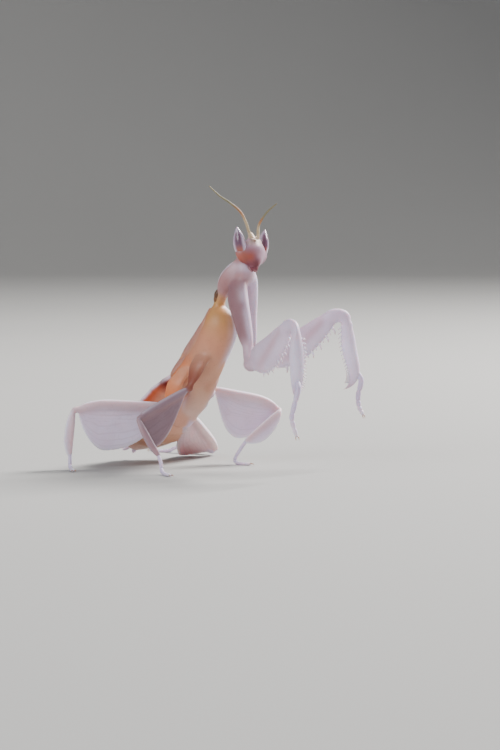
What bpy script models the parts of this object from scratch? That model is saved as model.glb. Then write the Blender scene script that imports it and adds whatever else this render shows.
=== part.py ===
"""A life-size orchid mantis nymph, standing with its head and forelegs raised.

The insect is set out in millimetres and moved to metres as each piece is finished.
+X is the way the body leans, -Y is its right side, +Z is up and the floor is Z = 0.
Every piece is lofted: a ring is grown along the piece, section by section, and its ends
are closed. Neighbours keep a gap of GAP, which the joints of the real shell also leave.
"""

import math

import bmesh
import bpy
from mathutils import Matrix, Vector

# ---- Driving dimensions, in millimetres and degrees ----
MM = 0.001
GAP = 0.3
CENTRE = Vector((0.0, 0.0, 0.0))

BODY_TURN = math.radians(38.0)
HEAD_TURN = math.radians(44.0)
ABDOMEN_ROLL = math.radians(20.0)

# The midline of the trunk, from the tip of the abdomen to the head.
ABDOMEN_TIP = (-12.7, 8.2, 2.1)
ABDOMEN_MIDDLE = (-8.2, 5.0, 7.0)
ABDOMEN_BASE = (-5.2, 2.0, 12.4)
METATHORAX_TOP = (-2.0, -0.4, 16.1)
MESOTHORAX_MIDDLE = (0.3, -2.4, 20.7)
MESOTHORAX_TOP = (0.5, -2.5, 24.4)
PRONOTUM_REAR = (1.2, -3.1, 26.2)
PRONOTUM_MIDDLE = (2.5, -4.1, 28.6)
PRONOTUM_FRONT = (4.0, -5.4, 30.6)
HEAD_CENTRE = (5.9, -7.1, 32.6)

FEMUR_SPINES = 7
TIBIA_SPINES = 9
ABDOMEN_SEGMENTS = 7

SIDES_BODY = 18
SIDES_LEG = 12
SIDES_PETAL = 12
SIDES_FINE = 8


# ---- Materials ----
def finish(name, colour, roughness=0.45):
    """One Principled material of a plain colour."""
    material = bpy.data.materials.new(name)
    material.use_nodes = True
    shader = material.node_tree.nodes["Principled BSDF"]
    shader.inputs["Base Color"].default_value = (*colour, 1.0)
    shader.inputs["Roughness"].default_value = roughness
    shader.inputs["Metallic"].default_value = 0.0
    return material


PETAL_WHITE = finish("petal_white", (0.82, 0.70, 0.72))
PEACH = finish("peach_shell", (0.85, 0.48, 0.30))
AMBER = finish("amber_shell", (0.87, 0.42, 0.14))
EYE_LILAC = finish("eye_lilac", (0.42, 0.30, 0.42), 0.25)
BROWN = finish("collar_brown", (0.20, 0.09, 0.04))
OLIVE = finish("antenna_olive", (0.30, 0.22, 0.10))
CLAW = finish("mouth_brown", (0.35, 0.16, 0.12))


# ---- Building blocks ----
def vector(point):
    return point if isinstance(point, Vector) else Vector(point)


def mix(a, b, t):
    return a + (b - a) * t


def spread(count):
    """Places from 0 to 1 that crowd towards both ends, where a limb rounds off."""
    return [0.5 - 0.5 * math.cos(math.pi * i / (count - 1)) for i in range(count)]


def blunt(t, power=6.0, least=0.2):
    """How much of its full thickness a limb has at t, so that both its ends are round."""
    return max(least, math.sqrt(max(0.0, 1.0 - abs(2.0 * t - 1.0) ** power)))


def through(points, t):
    """A point on the smooth curve through the points, t running from 0 to 1."""
    points = [vector(p) for p in points]
    place = t * (len(points) - 1)
    i = min(int(place), len(points) - 2)
    u = place - i
    before = points[i - 1] if i > 0 else points[0] * 2 - points[1]
    after = points[i + 2] if i + 2 < len(points) else points[-1] * 2 - points[-2]
    a, b = points[i], points[i + 1]
    return 0.5 * (2 * a + (b - before) * u + (2 * before - 5 * a + 4 * b - after) * u ** 2
                  + (3 * a - before - 3 * b + after) * u ** 3)


def heading(points, t):
    """The way the curve through the points runs at t."""
    step = 0.01
    ahead = through(points, min(1.0, t + step))
    behind = through(points, max(0.0, t - step))
    return (ahead - behind).normalized()


def section(centre, along, up, rise, drop, half_side, fold=1.0):
    """Where the points of a ring go: an oval square to the limb, with its own height each way.

    A fold above 1 thins it to an edge at both sides, as on a leaf.
    """
    side = along.cross(vector(up)).normalized()
    true_up = side.cross(along).normalized()

    def place(unit):
        height = abs(unit.y) ** fold * (rise if unit.y > 0 else -drop)
        return centre + side * (unit.x * half_side) + true_up * height

    return place


def petal_section(centre, along, down, shaft, depth, edge):
    """A ring of a leg that carries a petal: round at the shaft, thin from there to the rim."""
    side = along.cross(vector(down)).normalized()
    true_down = side.cross(along).normalized() * -1.0
    if true_down.dot(vector(down)) < 0:
        true_down.negate()

    def place(unit):
        if unit.y > 0:
            sink = -shaft * unit.y
        else:
            sink = max(shaft, depth) * abs(unit.y) ** 1.5
        thick = edge + (shaft - edge) * math.exp(-((sink / shaft) ** 2))
        full = min(1.0, 2.2 * abs(unit.x))
        return centre + side * math.copysign(thick * full, unit.x) + true_down * sink

    return place


def loft(sections, sides):
    """A closed skin: one ring is grown along the sections and capped at both ends."""
    bm = bmesh.new()
    unit = bm.verts.layers.float_vector.new("unit")
    row = bm.verts.layers.float.new("row")
    bmesh.ops.create_circle(bm, cap_ends=True, segments=sides, radius=1.0)
    for v in bm.verts:
        v[unit] = v.co
    ring, rim = list(bm.verts), list(bm.edges)
    for i, place in enumerate(sections):
        if i:
            grown = bmesh.ops.extrude_edge_only(bm, edges=rim)["geom"]
            ring = [g for g in grown if isinstance(g, bmesh.types.BMVert)]
            fresh = set(ring)
            rim = [g for g in grown if isinstance(g, bmesh.types.BMEdge) and fresh.issuperset(g.verts)]
        for v in ring:
            v.co = place(v[unit])
            v[row] = i
    bmesh.ops.edgeloop_fill(bm, edges=rim)
    bmesh.ops.recalc_face_normals(bm, faces=bm.faces)
    return bm


def make(name, bm, material, smooth=50.0):
    """Turns a finished shape into a named object in metres."""
    bmesh.ops.translate(bm, vec=-CENTRE, verts=bm.verts)
    bmesh.ops.scale(bm, vec=(MM, MM, MM), verts=bm.verts)
    mesh = bpy.data.meshes.new(name)
    bm.to_mesh(mesh)
    bm.free()
    mesh.materials.append(material)
    mesh.shade_smooth()
    mesh.set_sharp_from_angle(angle=math.radians(smooth))
    piece = bpy.data.objects.new(name, mesh)
    bpy.context.scene.collection.objects.link(piece)
    return piece


def cut(piece, cutter):
    """Takes the cutter's room out of a piece."""
    cutter.hide_render = True
    cutter.display_type = "WIRE"
    bite = piece.modifiers.new("room for " + cutter.name, "BOOLEAN")
    bite.operation = "DIFFERENCE"
    bite.solver = "EXACT"
    bite.object = cutter


def limb(points, radii, up, sides=SIDES_LEG, count=9, flat=1.0, grow=0.0, power=6.0):
    """A round-ended limb along a curve. Its radii are read evenly along it, flat widens it.

    What it grows by it also gains at each end, which makes the cutter for a socket round it.
    """
    points = [vector(p) for p in points]
    points[0] = points[0] + (points[0] - points[1]).normalized() * grow
    points[-1] = points[-1] + (points[-1] - points[-2]).normalized() * grow
    sections = []
    for t in spread(count):
        place = t * (len(radii) - 1)
        i = min(int(place), len(radii) - 2)
        radius = (mix(radii[i], radii[i + 1], place - i)) * blunt(t, power) + grow
        sections.append(section(through(points, t), heading(points, t), up, radius, radius, radius * flat))
    return loft(sections, sides)


def shorten(start, end, off_start, off_end):
    """The stretch between two joints that is left when each end keeps its distance."""
    start, end = vector(start), vector(end)
    along = (end - start).normalized()
    return start + along * off_start, end - along * off_end


def row_of_faces(bm, edge, first, count):
    """The faces beside the upper line of a limb, one to each stretch of it from the first on."""
    unit = bm.verts.layers.float_vector["unit"]
    row = bm.verts.layers.float["row"]
    found = []
    for face in bm.faces:
        if len(face.verts) != 4:
            continue
        rows = [v[row] for v in face.verts]
        middle = sum((v[unit] for v in face.verts), Vector()) / 4
        beside = middle.y > 0.75 and middle.x * edge > 0.0
        if beside and max(rows) - min(rows) > 0.5 and first <= min(rows) < first + count:
            found.append(face)
    return found


def grow_spines(bm, faces, direction, length, inset=0.0):
    """Draws each face out to a point of its own, halfway between its own outward way and direction."""
    for face in faces:
        lean = (direction.normalized() + face.normal).normalized()
        if inset:
            bmesh.ops.inset_individual(bm, faces=[face], thickness=inset * math.sqrt(face.calc_area()))
        drawn = bmesh.ops.extrude_discrete_faces(bm, faces=[face])["faces"][0]
        point = drawn.calc_center_median() + lean * length
        bmesh.ops.pointmerge(bm, verts=drawn.verts, merge_co=point)


# ---- Trunk ----
LEFT = Vector((math.sin(BODY_TURN), math.cos(BODY_TURN), 0.0))
AHEAD = Vector((math.cos(BODY_TURN), -math.sin(BODY_TURN), 0.0))

TRUNK = [ABDOMEN_BASE, METATHORAX_TOP, MESOTHORAX_MIDDLE, MESOTHORAX_TOP]
ABDOMEN = [ABDOMEN_TIP, ABDOMEN_MIDDLE, ABDOMEN_BASE]
PRONOTUM = [PRONOTUM_REAR, PRONOTUM_MIDDLE, PRONOTUM_FRONT]


def read(values, t):
    """A value read from a short list that is spread evenly along a piece."""
    place = t * (len(values) - 1)
    i = min(int(place), len(values) - 2)
    u = place - i
    return mix(values[i], values[i + 1], u * u * (3 - 2 * u))


def back_of(along, roll=0.0):
    """The way the insect's back faces where its midline runs towards the head along."""
    return Matrix.Rotation(-roll, 3, along) @ along.cross(LEFT).normalized()


def trunk_loft(points, start, end, shape, count, roll=0.0, sides=SIDES_BODY, lift=0.0):
    """Part of the trunk from start to end of its midline, shape(t) giving rise, drop, side, fold."""
    sections = []
    for t in spread(count):
        place = mix(start, end, t)
        along = heading(points, place)
        back = back_of(along, roll)
        rise, drop, half_side, fold = shape(place, t)
        centre = through(points, place) + back * lift
        sections.append(section(centre, along, back, rise, drop, half_side, fold))
    return loft(sections, sides)


def build_thorax():
    """Middle and rear thorax."""

    def shape(place, t):
        side = read([3.3, 2.7, 2.9, 2.6, 1.2], place)
        drop = read([2.0, 3.1, 3.5, 3.2, 1.1], place)
        rise = read([1.0, 1.05, 1.1, 0.9, 0.6], place)
        ends = blunt(t, 10, 0.6)
        return rise * ends, drop * ends, side * ends, 0.9

    metathorax = make("metathorax", trunk_loft(TRUNK, 0.03, 0.40, shape, 7), AMBER)
    mesothorax = make("mesothorax", trunk_loft(TRUNK, 0.43, 1.0, shape, 9), PEACH)
    for name, leg in WALKING_LEGS.items():
        room = make(name + "_coxa_room", walking_coxa(leg, GAP), PEACH)
        cut(metathorax, room)
        if name.startswith("mid"):
            cut(mesothorax, room)


def build_wing_pads():
    """Two pairs of thin tongues on the back, the front pair lying over the rear pair."""
    pads = (
        ("wing_pad_fore", 0.91, 0.08, [0.7, 1.3, 1.7, 1.6, 0.8], [0.95, 1.8, 2.25, 2.55, 2.55]),
        ("wing_pad_hind", 0.42, 0.0, [1.2, 1.7, 1.8, 1.5, 1.0], [1.45, 1.5, 1.5, 1.45, 1.5]),
    )
    tilt = math.radians(22.0)
    for name, start, end, widths, lifts in pads:
        for side_name, side in (("right", -1.0), ("left", 1.0)):
            points = []
            for t in spread(6):
                place = mix(start, end, t)
                along = heading(TRUNK, max(0.0, place))
                base = through(TRUNK, max(0.0, place)) + along * min(0.0, place) * 6.0
                outward = read(widths, t) * math.cos(tilt) + 1.5 * GAP
                points.append(base + back_of(along) * read(lifts, t) + LEFT * side * outward)
            sections = []
            for t in spread(7):
                along = heading(points, t)
                up = back_of(-along) * math.cos(tilt) + LEFT * side * math.sin(tilt)
                half = read(widths, t) * blunt(t, 5, 0.25)
                sections.append(section(through(points, t), along, up, 0.28, 0.28, half))
            make(name + "_" + side_name, loft(sections, SIDES_FINE), PETAL_WHITE)


def build_abdomen():
    """A broad leaf of segments, each a little wider behind than the next one's front, and two cerci."""
    half = 0.5 * GAP / (vector(ABDOMEN_BASE) - vector(ABDOMEN_TIP)).length

    def shape(place, t):
        side = read([1.4, 4.1, 5.8, 6.1, 5.9, 5.4, 4.8, 4.0], place) * (1.02 - 0.05 * t)
        drop = read([0.7, 2.0, 2.7, 2.5, 2.2, 1.6], place)
        rise = read([0.4, 0.6, 0.8, 1.1, 1.3, 1.0], place)
        return rise, drop, side, 1.5

    for i in range(ABDOMEN_SEGMENTS):
        start = 1.0 - (i + 1) / ABDOMEN_SEGMENTS + half
        end = 1.0 - i / ABDOMEN_SEGMENTS - half
        piece = trunk_loft(ABDOMEN, start, end, shape, 4, ABDOMEN_ROLL, SIDES_PETAL)
        make("abdomen_%d" % (i + 1), piece, AMBER)

    along = heading(ABDOMEN, 0.0)
    side = back_of(along, ABDOMEN_ROLL).cross(along).normalized()
    for side_name, sign in (("right", -1.0), ("left", 1.0)):
        root = vector(ABDOMEN_TIP) - along * 0.25 + side * sign * 0.6
        tip = root - along * 1.0 + side * sign * 0.45
        cercus = limb([root, tip], [0.3, 0.36, 0.25], (0, 0, 1), SIDES_FINE, 6)
        make("cercus_" + side_name, cercus, PETAL_WHITE)


def build_prothorax():
    """The brown collar, the shield over the front segment, its underside and the neck."""

    def shield(place, t):
        side = read([1.15, 1.7, 2.3, 2.1, 1.2], t) * blunt(t, 8, 0.6)
        return read([1.3, 1.3, 1.1, 0.8, 0.7], t) * blunt(t, 4, 0.5), 0.1, side, 0.8

    def underside(place, t):
        side = read([1.0, 1.4, 1.8, 1.6, 1.0], t) * blunt(t, 8, 0.6)
        return 0.1, 1.5 * blunt(t, 4, 0.5), side, 0.8

    collar_start, collar_end = shorten(MESOTHORAX_TOP, PRONOTUM_REAR, 0.45, GAP)
    collar = limb([collar_start, collar_end], [0.9, 0.95, 1.0], -AHEAD, SIDES_LEG, 6, 1.2, 0.0, 8.0)
    make("collar", collar, BROWN)
    make("pronotum", trunk_loft(PRONOTUM, 0.0, 1.0, shield, 9, lift=0.25), PETAL_WHITE)
    below = trunk_loft(PRONOTUM, 0.0, 0.97, underside, 9, lift=-0.25)
    prothorax = make("prothorax", below, PEACH)
    for name, points in (("right", COXA_RIGHT), ("left", COXA_LEFT)):
        room = fore_coxa(points, GAP)
        cut(prothorax, make("coxa_room_" + name, room, PEACH))
    neck_start = vector(PRONOTUM_FRONT) + heading(PRONOTUM, 1.0) * GAP
    neck_end = on_head(0.0, -1.75, -0.9)
    make("neck", limb([neck_start, neck_end], [0.75, 0.7], -AHEAD, SIDES_LEG, 5, 1.0, 0.0, 10.0), PEACH)


# ---- Head ----
HEAD_LEAN = math.radians(14.0)
HEAD_LEVEL = Vector((math.cos(HEAD_TURN), -math.sin(HEAD_TURN), 0.0))
HEAD_LEFT = Vector((math.sin(HEAD_TURN), math.cos(HEAD_TURN), 0.0))
HEAD_UP = Vector((0, 0, 1)) * math.cos(HEAD_LEAN) - HEAD_LEVEL * math.sin(HEAD_LEAN)
HEAD_FRONT = HEAD_LEFT.cross(HEAD_UP)


def on_head(left, front, up):
    """A place on the head, in its own directions from its centre."""
    return vector(HEAD_CENTRE) + HEAD_LEFT * left + HEAD_FRONT * front + HEAD_UP * up


def eye_shape(sign, grow=0.0):
    """One of the tall pointed eyes."""
    points = [on_head(sign * 2.0, -0.15, -0.7), on_head(sign * 2.35, -0.1, 0.6),
              on_head(sign * 2.75, 0.0, 2.1), on_head(sign * 3.15, 0.05, 3.5)]
    return limb(points, [0.75, 1.15, 1.15, 0.9, 0.5, 0.12], HEAD_FRONT, SIDES_LEG, 9, 0.92, grow, 10.0)


def build_head():
    """The three-cornered head capsule, its eyes, horn, feelers and mouth."""
    sections = []
    sides = [0.6, 1.2, 1.9, 2.5, 2.7, 2.3, 1.6, 1.1, 0.75]
    depths = [0.5, 0.95, 1.2, 1.35, 1.4, 1.25, 1.0, 0.8, 0.6]
    for t in spread(11):
        centre = on_head(0.0, 0.0, mix(2.3, -2.65, t))
        thick = read(depths, t)
        sections.append(section(centre, -HEAD_UP, HEAD_FRONT, thick, thick * 0.9, read(sides, t)))
    head = make("head", loft(sections, SIDES_PETAL), PETAL_WHITE)
    for name, sign in (("right", -1.0), ("left", 1.0)):
        make("eye_" + name, eye_shape(sign), EYE_LILAC)
        cut(head, make("eye_room_" + name, eye_shape(sign, GAP), EYE_LILAC))
    horn = limb([on_head(0, 0.1, 2.6), on_head(0, 0.15, 3.2)], [0.5, 0.4, 0.2], HEAD_FRONT, SIDES_FINE, 6)
    make("ocellar_horn", horn, PETAL_WHITE)
    lips = [on_head(0, 0.1, -2.95), on_head(0, 0.15, -3.85)]
    mouth = limb(lips, [0.8, 0.75, 0.4], HEAD_FRONT, 10, 6, 1.0, 0.0, 9.0)
    make("mouth", mouth, CLAW)


def build_feelers():
    """The two threads, each bent outwards from its root beside the horn."""
    routes = (
        ("antenna_right", [(5.2, -8.2, 35.1), (4.7, -8.4, 36.7), (3.9, -8.5, 38.2), (2.4, -8.6, 39.5),
                           (0.9, -8.6, 40.5), (-0.7, -8.6, 42.0)]),
        ("antenna_left", [(6.5, -7.4, 34.95), (6.6, -7.2, 36.1), (7.1, -7.0, 37.1), (8.0, -6.8, 38.3),
                          (9.3, -6.6, 39.4)]),
    )
    for name, points in routes:
        make(name, limb(points, [0.3, 0.26, 0.26, 0.25], (0, 1, 0), 6, 11, 1.0, 0.0, 60.0), OLIVE)


# ---- Forelegs ----
COXA_RIGHT = [(2.4, -6.1, 27.9), (3.5, -7.7, 22.5), (4.6, -8.7, 17.8)]
COXA_LEFT = [(4.9, -3.2, 29.7), (5.3, -2.9, 23.0), (6.0, -2.6, 17.8)]
FEMUR_RIGHT = [(4.9, -9.9, 15.7), (8.2, -14.4, 18.0), (11.2, -18.9, 22.5)]
FEMUR_LEFT = [(7.1, -2.5, 15.8), (12.7, -2.3, 18.4), (18.3, -2.1, 23.2)]


def fore_coxa(points, grow=0.0):
    return limb(points, [1.5, 1.95, 1.8, 1.5, 1.25, 1.1], AHEAD, SIDES_LEG, 9, 0.7, grow)


def foot_of(points, radii):
    """The thin jointed foot of a leg, with its pair of claws."""
    stations = 9
    foot = limb(points, radii, (0, 0.2, 1), SIDES_FINE, stations)
    onwards = heading([vector(p) for p in points], 1.0)
    for edge in (-1, 1):
        side = onwards.cross(Vector((0, 0.2, 1))) * (0.5 * edge)
        grow_spines(foot, row_of_faces(foot, edge, stations - 2, 1), onwards + side, 0.5)
    return foot


def build_forelegs():
    """The pair that the insect catches with: deep spined thighs and hooked, toothed shins."""
    legs = (
        ("right", COXA_RIGHT, FEMUR_RIGHT, (0.1, 0.2, -1.0), (1.0, 0.3, 0.0),
         [(11.9, -20.4, 22.2), (12.0, -20.7, 17.5), (12.0, -20.5, 14.0), (11.7, -19.5, 12.5),
          (11.4, -18.4, 11.9)],
         [(12.2, -21.5, 13.2), (11.6, -21.6, 10.6), (11.3, -21.4, 8.8), (12.0, -21.1, 6.3)]),
        ("left", COXA_LEFT, FEMUR_LEFT, (0.3, 0.0, -1.0), (-1.0, 0.0, 0.0),
         [(19.6, -2.0, 22.9), (20.1, -2.0, 18.0), (20.9, -2.0, 14.2), (20.2, -2.0, 12.2),
          (18.6, -2.0, 11.3)],
         [(21.9, -2.0, 13.1), (21.5, -2.0, 10.8), (21.6, -2.0, 9.2), (22.2, -2.0, 7.8)]),
    )
    for name, coxa, femur, below, inward, tibia, tarsus in legs:
        make("fore_coxa_" + name, fore_coxa(coxa), PETAL_WHITE)
        down = (vector(coxa[-1]) - vector(coxa[-2])).normalized()
        start = vector(coxa[-1]) + down * GAP
        trochanter = limb([start, start + down * 0.8], [0.9, 0.95], AHEAD, SIDES_FINE, 5)
        make("fore_trochanter_" + name, trochanter, PETAL_WHITE)
        thigh = limb(femur, [1.0, 2.0, 2.4, 2.3, 1.95, 1.6, 1.2], below, SIDES_LEG, 12, 0.4)
        for edge in (-1, 1):
            faces = row_of_faces(thigh, edge, 3, FEMUR_SPINES)
            lean = heading(femur, 0.5).cross(vector(below)) * (0.35 * edge)
            grow_spines(thigh, faces, vector(below) - heading(femur, 0.6) * 0.2 + lean, 0.8, 0.22)
        make("fore_femur_" + name, thigh, PETAL_WHITE)
        shin = limb(tibia, [1.05, 1.25, 1.15, 0.95, 0.6, 0.3, 0.1], inward, 10, 14, 0.75, 0.0, 12.0)
        for edge in (-1, 1):
            faces = row_of_faces(shin, edge, 2, TIBIA_SPINES)
            grow_spines(shin, faces, vector(inward) + Vector((0.0, 0.35 * edge, -0.7)), 0.55)
        make("fore_tibia_" + name, shin, PETAL_WHITE)
        make("fore_tarsus_" + name, foot_of(tarsus, [0.33, 0.3, 0.3, 0.3]), PETAL_WHITE)


# ---- Walking legs ----
# The joints of each leg from its root to its toe. Its thigh's petal hangs along hang, petal deep
# at peak, and swells to that slowly where swell is large; fin is the depth of the shin's own petal.
# The thigh bows up by bow and stops knee_room short of the knee, and the shin starts lean away
# from it. Girth thickens the coxa.
WALKING_LEGS = {
    "mid_right": dict(root=(-2.2, -4.4, 17.4), hip=(-3.7, -5.1, 12.0), knee=(-11.0, -9.6, 8.0),
                      ankle=(-7.8, -12.2, 2.4), heel=(-7.5, -13.2, 0.4), toe=(-6.2, -16.2, 0.24),
                      hang=(0.25, 0.4, -1.0), petal=6.4, peak=0.86, swell=1.3,
                      fin=1.3, lean=(-0.2, -0.9, 0.0), bow=0.1, knee_room=0.2, girth=1.0),
    "mid_left": dict(root=(2.3, 0.4, 18.2), hip=(-0.3, 1.3, 11.5), knee=(9.8, 4.6, 8.1),
                     ankle=(4.5, 1.2, 3.5), heel=(2.9, 1.2, 0.5), toe=(5.4, 0.0, 0.24),
                     hang=(-0.2, 0.1, -1.0), petal=6.7, peak=0.6, swell=0.6,
                     fin=1.9, lean=(0.2, -1.1, -0.1), bow=0.9, knee_room=0.3, girth=1.0),
    "hind_right": dict(root=(-4.6, -2.8, 15.0), hip=(-7.2, -2.4, 9.2), knee=(-20.6, -5.0, 8.9),
                       ankle=(-21.4, -5.7, 1.8), heel=(-21.3, -6.4, 0.4), toe=(-20.6, -9.8, 0.24),
                       hang=(0.0, 0.0, -1.0), petal=7.0, peak=0.7, swell=0.6,
                       fin=1.1, lean=(-0.35, -0.1, 0.0), bow=0.6, knee_room=0.4, girth=1.15),
    "hind_left": dict(root=(-0.4, 1.3, 14.2), hip=(-3.2, 2.35, 7.1), knee=(0.4, 15.3, 1.0),
                      ankle=(-6.3, 19.6, 0.95), heel=(-7.2, 20.2, 0.35), toe=(-10.4, 21.2, 0.24),
                      hang=(-0.94, 0.04, -0.34), petal=5.3, peak=0.74, swell=0.6,
                      fin=1.1, lean=(0.0, 0.9, 0.0), bow=0.2, knee_room=0.2, girth=1.3),
}
HIP_RADIUS = 0.85
PETAL_EDGE = 0.28
PETAL_ROUNDING = 0.6


def petal_depth(t, peak, depth, swell):
    """How far a petal hangs at t, swelling to depth at its peak and rounding off after it."""
    if t < peak:
        return depth * math.sin(0.5 * math.pi * t / peak) ** swell
    return depth * math.cos(0.5 * math.pi * (t - peak) / (1.0 - peak)) ** PETAL_ROUNDING


def petal_limb(start, end, down, shafts, petal, count):
    """A limb with a thin rounded petal all along one side, its shaft bowed the other way."""
    depth, peak, swell, bow = petal
    along = (end - start).normalized()
    sections = []
    for t in spread(count):
        shaft = read(shafts, t) * blunt(t, 10, 0.45)
        hang = petal_depth(t, peak, depth, swell)
        centre = mix(start, end, t) - vector(down).normalized() * (bow * math.sin(math.pi * t * t))
        sections.append(petal_section(centre, along, down, shaft, hang, PETAL_EDGE))
    return loft(sections, SIDES_PETAL)


def walking_coxa(leg, grow=0.0):
    """The first joint of a walking leg, from the underside of the thorax down to the hip."""
    root, hip = vector(leg["root"]), vector(leg["hip"])
    end = hip + (root - hip).normalized() * (HIP_RADIUS + GAP)
    radii = [0.9 * leg["girth"], 1.15 * leg["girth"], 1.05 * leg["girth"], 0.85]
    return limb([root, end], radii, AHEAD, 10, 7, 1.0 / leg["girth"], grow)


def hip_joint(leg, grow=0.0):
    """The short second joint, a ball between the coxa and the thigh."""
    root, hip, knee = vector(leg["root"]), vector(leg["hip"]), vector(leg["knee"])
    half = ((knee - hip).normalized() - (root - hip).normalized()).normalized() * HIP_RADIUS
    return limb([hip - half, hip + half], [HIP_RADIUS, HIP_RADIUS], AHEAD, 10, 7, 1.0, grow, 2.0)


def build_walking_legs():
    """Four legs whose thighs and shins carry the petals; each foot lies on the floor."""
    for name, leg in WALKING_LEGS.items():
        hip, knee, ankle = (vector(leg[k]) for k in ("hip", "knee", "ankle"))
        coxa = make(name + "_coxa", walking_coxa(leg), PEACH)
        if name.startswith("hind"):
            ahead = WALKING_LEGS[name.replace("hind", "mid")]
            cut(coxa, make(name + "_coxa_passing_room", walking_coxa(ahead, GAP), PEACH))
            cut(coxa, make(name + "_hip_passing_room", hip_joint(ahead, GAP), PEACH))
        make(name + "_trochanter", hip_joint(leg), PEACH)
        start, end = shorten(hip, knee, HIP_RADIUS + GAP, leg["knee_room"])
        petal = leg["petal"], leg["peak"], leg["swell"], leg["bow"]
        thigh = petal_limb(start, end, leg["hang"], [0.7, 0.85, 0.8, 0.7], petal, 10)
        make(name + "_femur", thigh, PETAL_WHITE)
        start = knee + vector(leg["lean"])
        out = (knee - hip).cross(ankle - knee).cross(ankle - knee)
        if out.dot(knee - hip) < 0:
            out.negate()
        fin = leg["fin"], 0.6, 0.6, 0.0
        shin = petal_limb(start, ankle, out, [0.45, 0.5, 0.42, 0.35], fin, 8)
        make(name + "_tibia", shin, PETAL_WHITE)
        heel, toe = vector(leg["heel"]), vector(leg["toe"])
        step = ankle + (heel - ankle).normalized() * (0.1 + GAP)
        ball = mix(heel, toe, 0.3)
        ball.z = toe.z
        route = [step, mix(heel, step, 0.2), ball, toe]
        foot = foot_of(route, [0.28, 0.3, 0.32, 0.3, 0.26])
        cut_floor(foot)
        make(name + "_tarsus", foot, PETAL_WHITE)


def cut_floor(bm):
    """Leaves a small flat where a foot meets the floor."""
    geometry = bm.verts[:] + bm.edges[:] + bm.faces[:]
    sliced = bmesh.ops.bisect_plane(bm, geom=geometry, plane_no=(0, 0, -1), clear_outer=True)
    rim = [g for g in sliced["geom_cut"] if isinstance(g, bmesh.types.BMEdge)]
    bmesh.ops.edgeloop_fill(bm, edges=rim)


def main():
    for stale in list(bpy.data.objects):
        bpy.data.objects.remove(stale)
    build_thorax()
    build_wing_pads()
    build_abdomen()
    build_prothorax()
    build_head()
    build_feelers()
    build_forelegs()
    build_walking_legs()


main()
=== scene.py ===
"""An orchid mantis nymph at life size, as a still museum model: its skin, plates and finishes."""

import math

import bmesh
import bpy
import numpy as np
from mathutils import Matrix, Vector
from mathutils.bvhtree import BVHTree


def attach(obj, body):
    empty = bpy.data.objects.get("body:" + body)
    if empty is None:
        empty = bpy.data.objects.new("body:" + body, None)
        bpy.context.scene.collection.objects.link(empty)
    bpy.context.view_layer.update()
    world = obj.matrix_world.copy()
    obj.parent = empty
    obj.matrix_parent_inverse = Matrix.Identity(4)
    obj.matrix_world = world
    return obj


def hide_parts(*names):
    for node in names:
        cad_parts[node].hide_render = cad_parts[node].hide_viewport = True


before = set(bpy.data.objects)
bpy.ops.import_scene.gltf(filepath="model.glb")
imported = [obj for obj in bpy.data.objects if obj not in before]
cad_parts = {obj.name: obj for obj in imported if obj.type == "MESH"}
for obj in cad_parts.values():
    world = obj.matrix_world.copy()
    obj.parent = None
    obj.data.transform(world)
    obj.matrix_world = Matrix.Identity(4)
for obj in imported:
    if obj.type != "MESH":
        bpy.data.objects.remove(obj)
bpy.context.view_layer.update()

# ==== Camera ====
# A long lens a little above the floor, tilted slightly down at the insect's middle. It looks from
# the insect's right side, so that the turned head and the raised forelegs stand out on the sweep.
MM = 0.001
AIM = Vector((5.325, 0.0, 13.65)) * MM
CAMERA_HEIGHT = math.radians(4.0)
CAMERA_DISTANCE = 0.42


def aimed(name, data, place):
    """A camera or a lamp at its place in the scene, turned to the insect's middle."""
    thing = bpy.data.objects.new(name, data)
    thing.location = place
    thing.rotation_mode = "QUATERNION"
    thing.rotation_quaternion = (AIM - place).to_track_quat("-Z", "Y")
    bpy.context.scene.collection.objects.link(thing)
    return thing


lens = bpy.data.cameras.new("studio_camera")
lens.lens, lens.sensor_width = 134.4, 36.0
lens.clip_start, lens.clip_end = 0.01, 10.0
back = Vector((0.0, -math.cos(CAMERA_HEIGHT), math.sin(CAMERA_HEIGHT)))
bpy.context.scene.camera = aimed("studio_camera", lens, AIM + back * CAMERA_DISTANCE)


# ==== Studio ====
# A matt painted sweep: a level floor that turns up into a wall all round, so no edge shows
# from any side. One lamp hangs behind to the right, a broader and softer one in front to the left.
class Strand:
    """A value in a material. Arithmetic on it adds Math nodes, add() any other node."""

    def __init__(self, tree, socket=None):
        self.tree, self.socket = tree, socket

    def add(self, kind, settings=None, sockets=None, output=0):
        """A new node: its settings first, then the values or links of its sockets."""
        node = self.tree.nodes.new(kind)
        for name, value in (settings or {}).items():
            setattr(node, name, value)
        for name, value in (sockets or {}).items():
            if isinstance(value, Strand):
                self.tree.links.new(value.socket, node.inputs[name])
            else:
                node.inputs[name].default_value = value
        return Strand(self.tree, node.outputs[output])

    def maths(self, operation, *values):
        return self.add("ShaderNodeMath", {"operation": operation}, dict(enumerate(values)))

    def __add__(self, other):
        return self.maths("ADD", self, other)

    def __sub__(self, other):
        return self.maths("SUBTRACT", self, other)

    def __mul__(self, other):
        return self.maths("MULTIPLY", self, other)

    __radd__, __rmul__ = __add__, __mul__

    def between(self, low, high):
        """0 below low and 1 above high, with a soft step from one to the other."""
        return self.add("ShaderNodeMapRange", {"interpolation_type": "SMOOTHSTEP"},
                        {"Value": self, "From Min": low, "From Max": high})

    def blend(self, a, b):
        """Colour a where this value is 0 and b where it is 1."""
        a, b = ((*c, 1.0) if isinstance(c, tuple) else c for c in (a, b))
        return self.add("ShaderNodeMix", {"data_type": "RGBA"}, {0: self, 6: a, 7: b}, 2)


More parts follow.
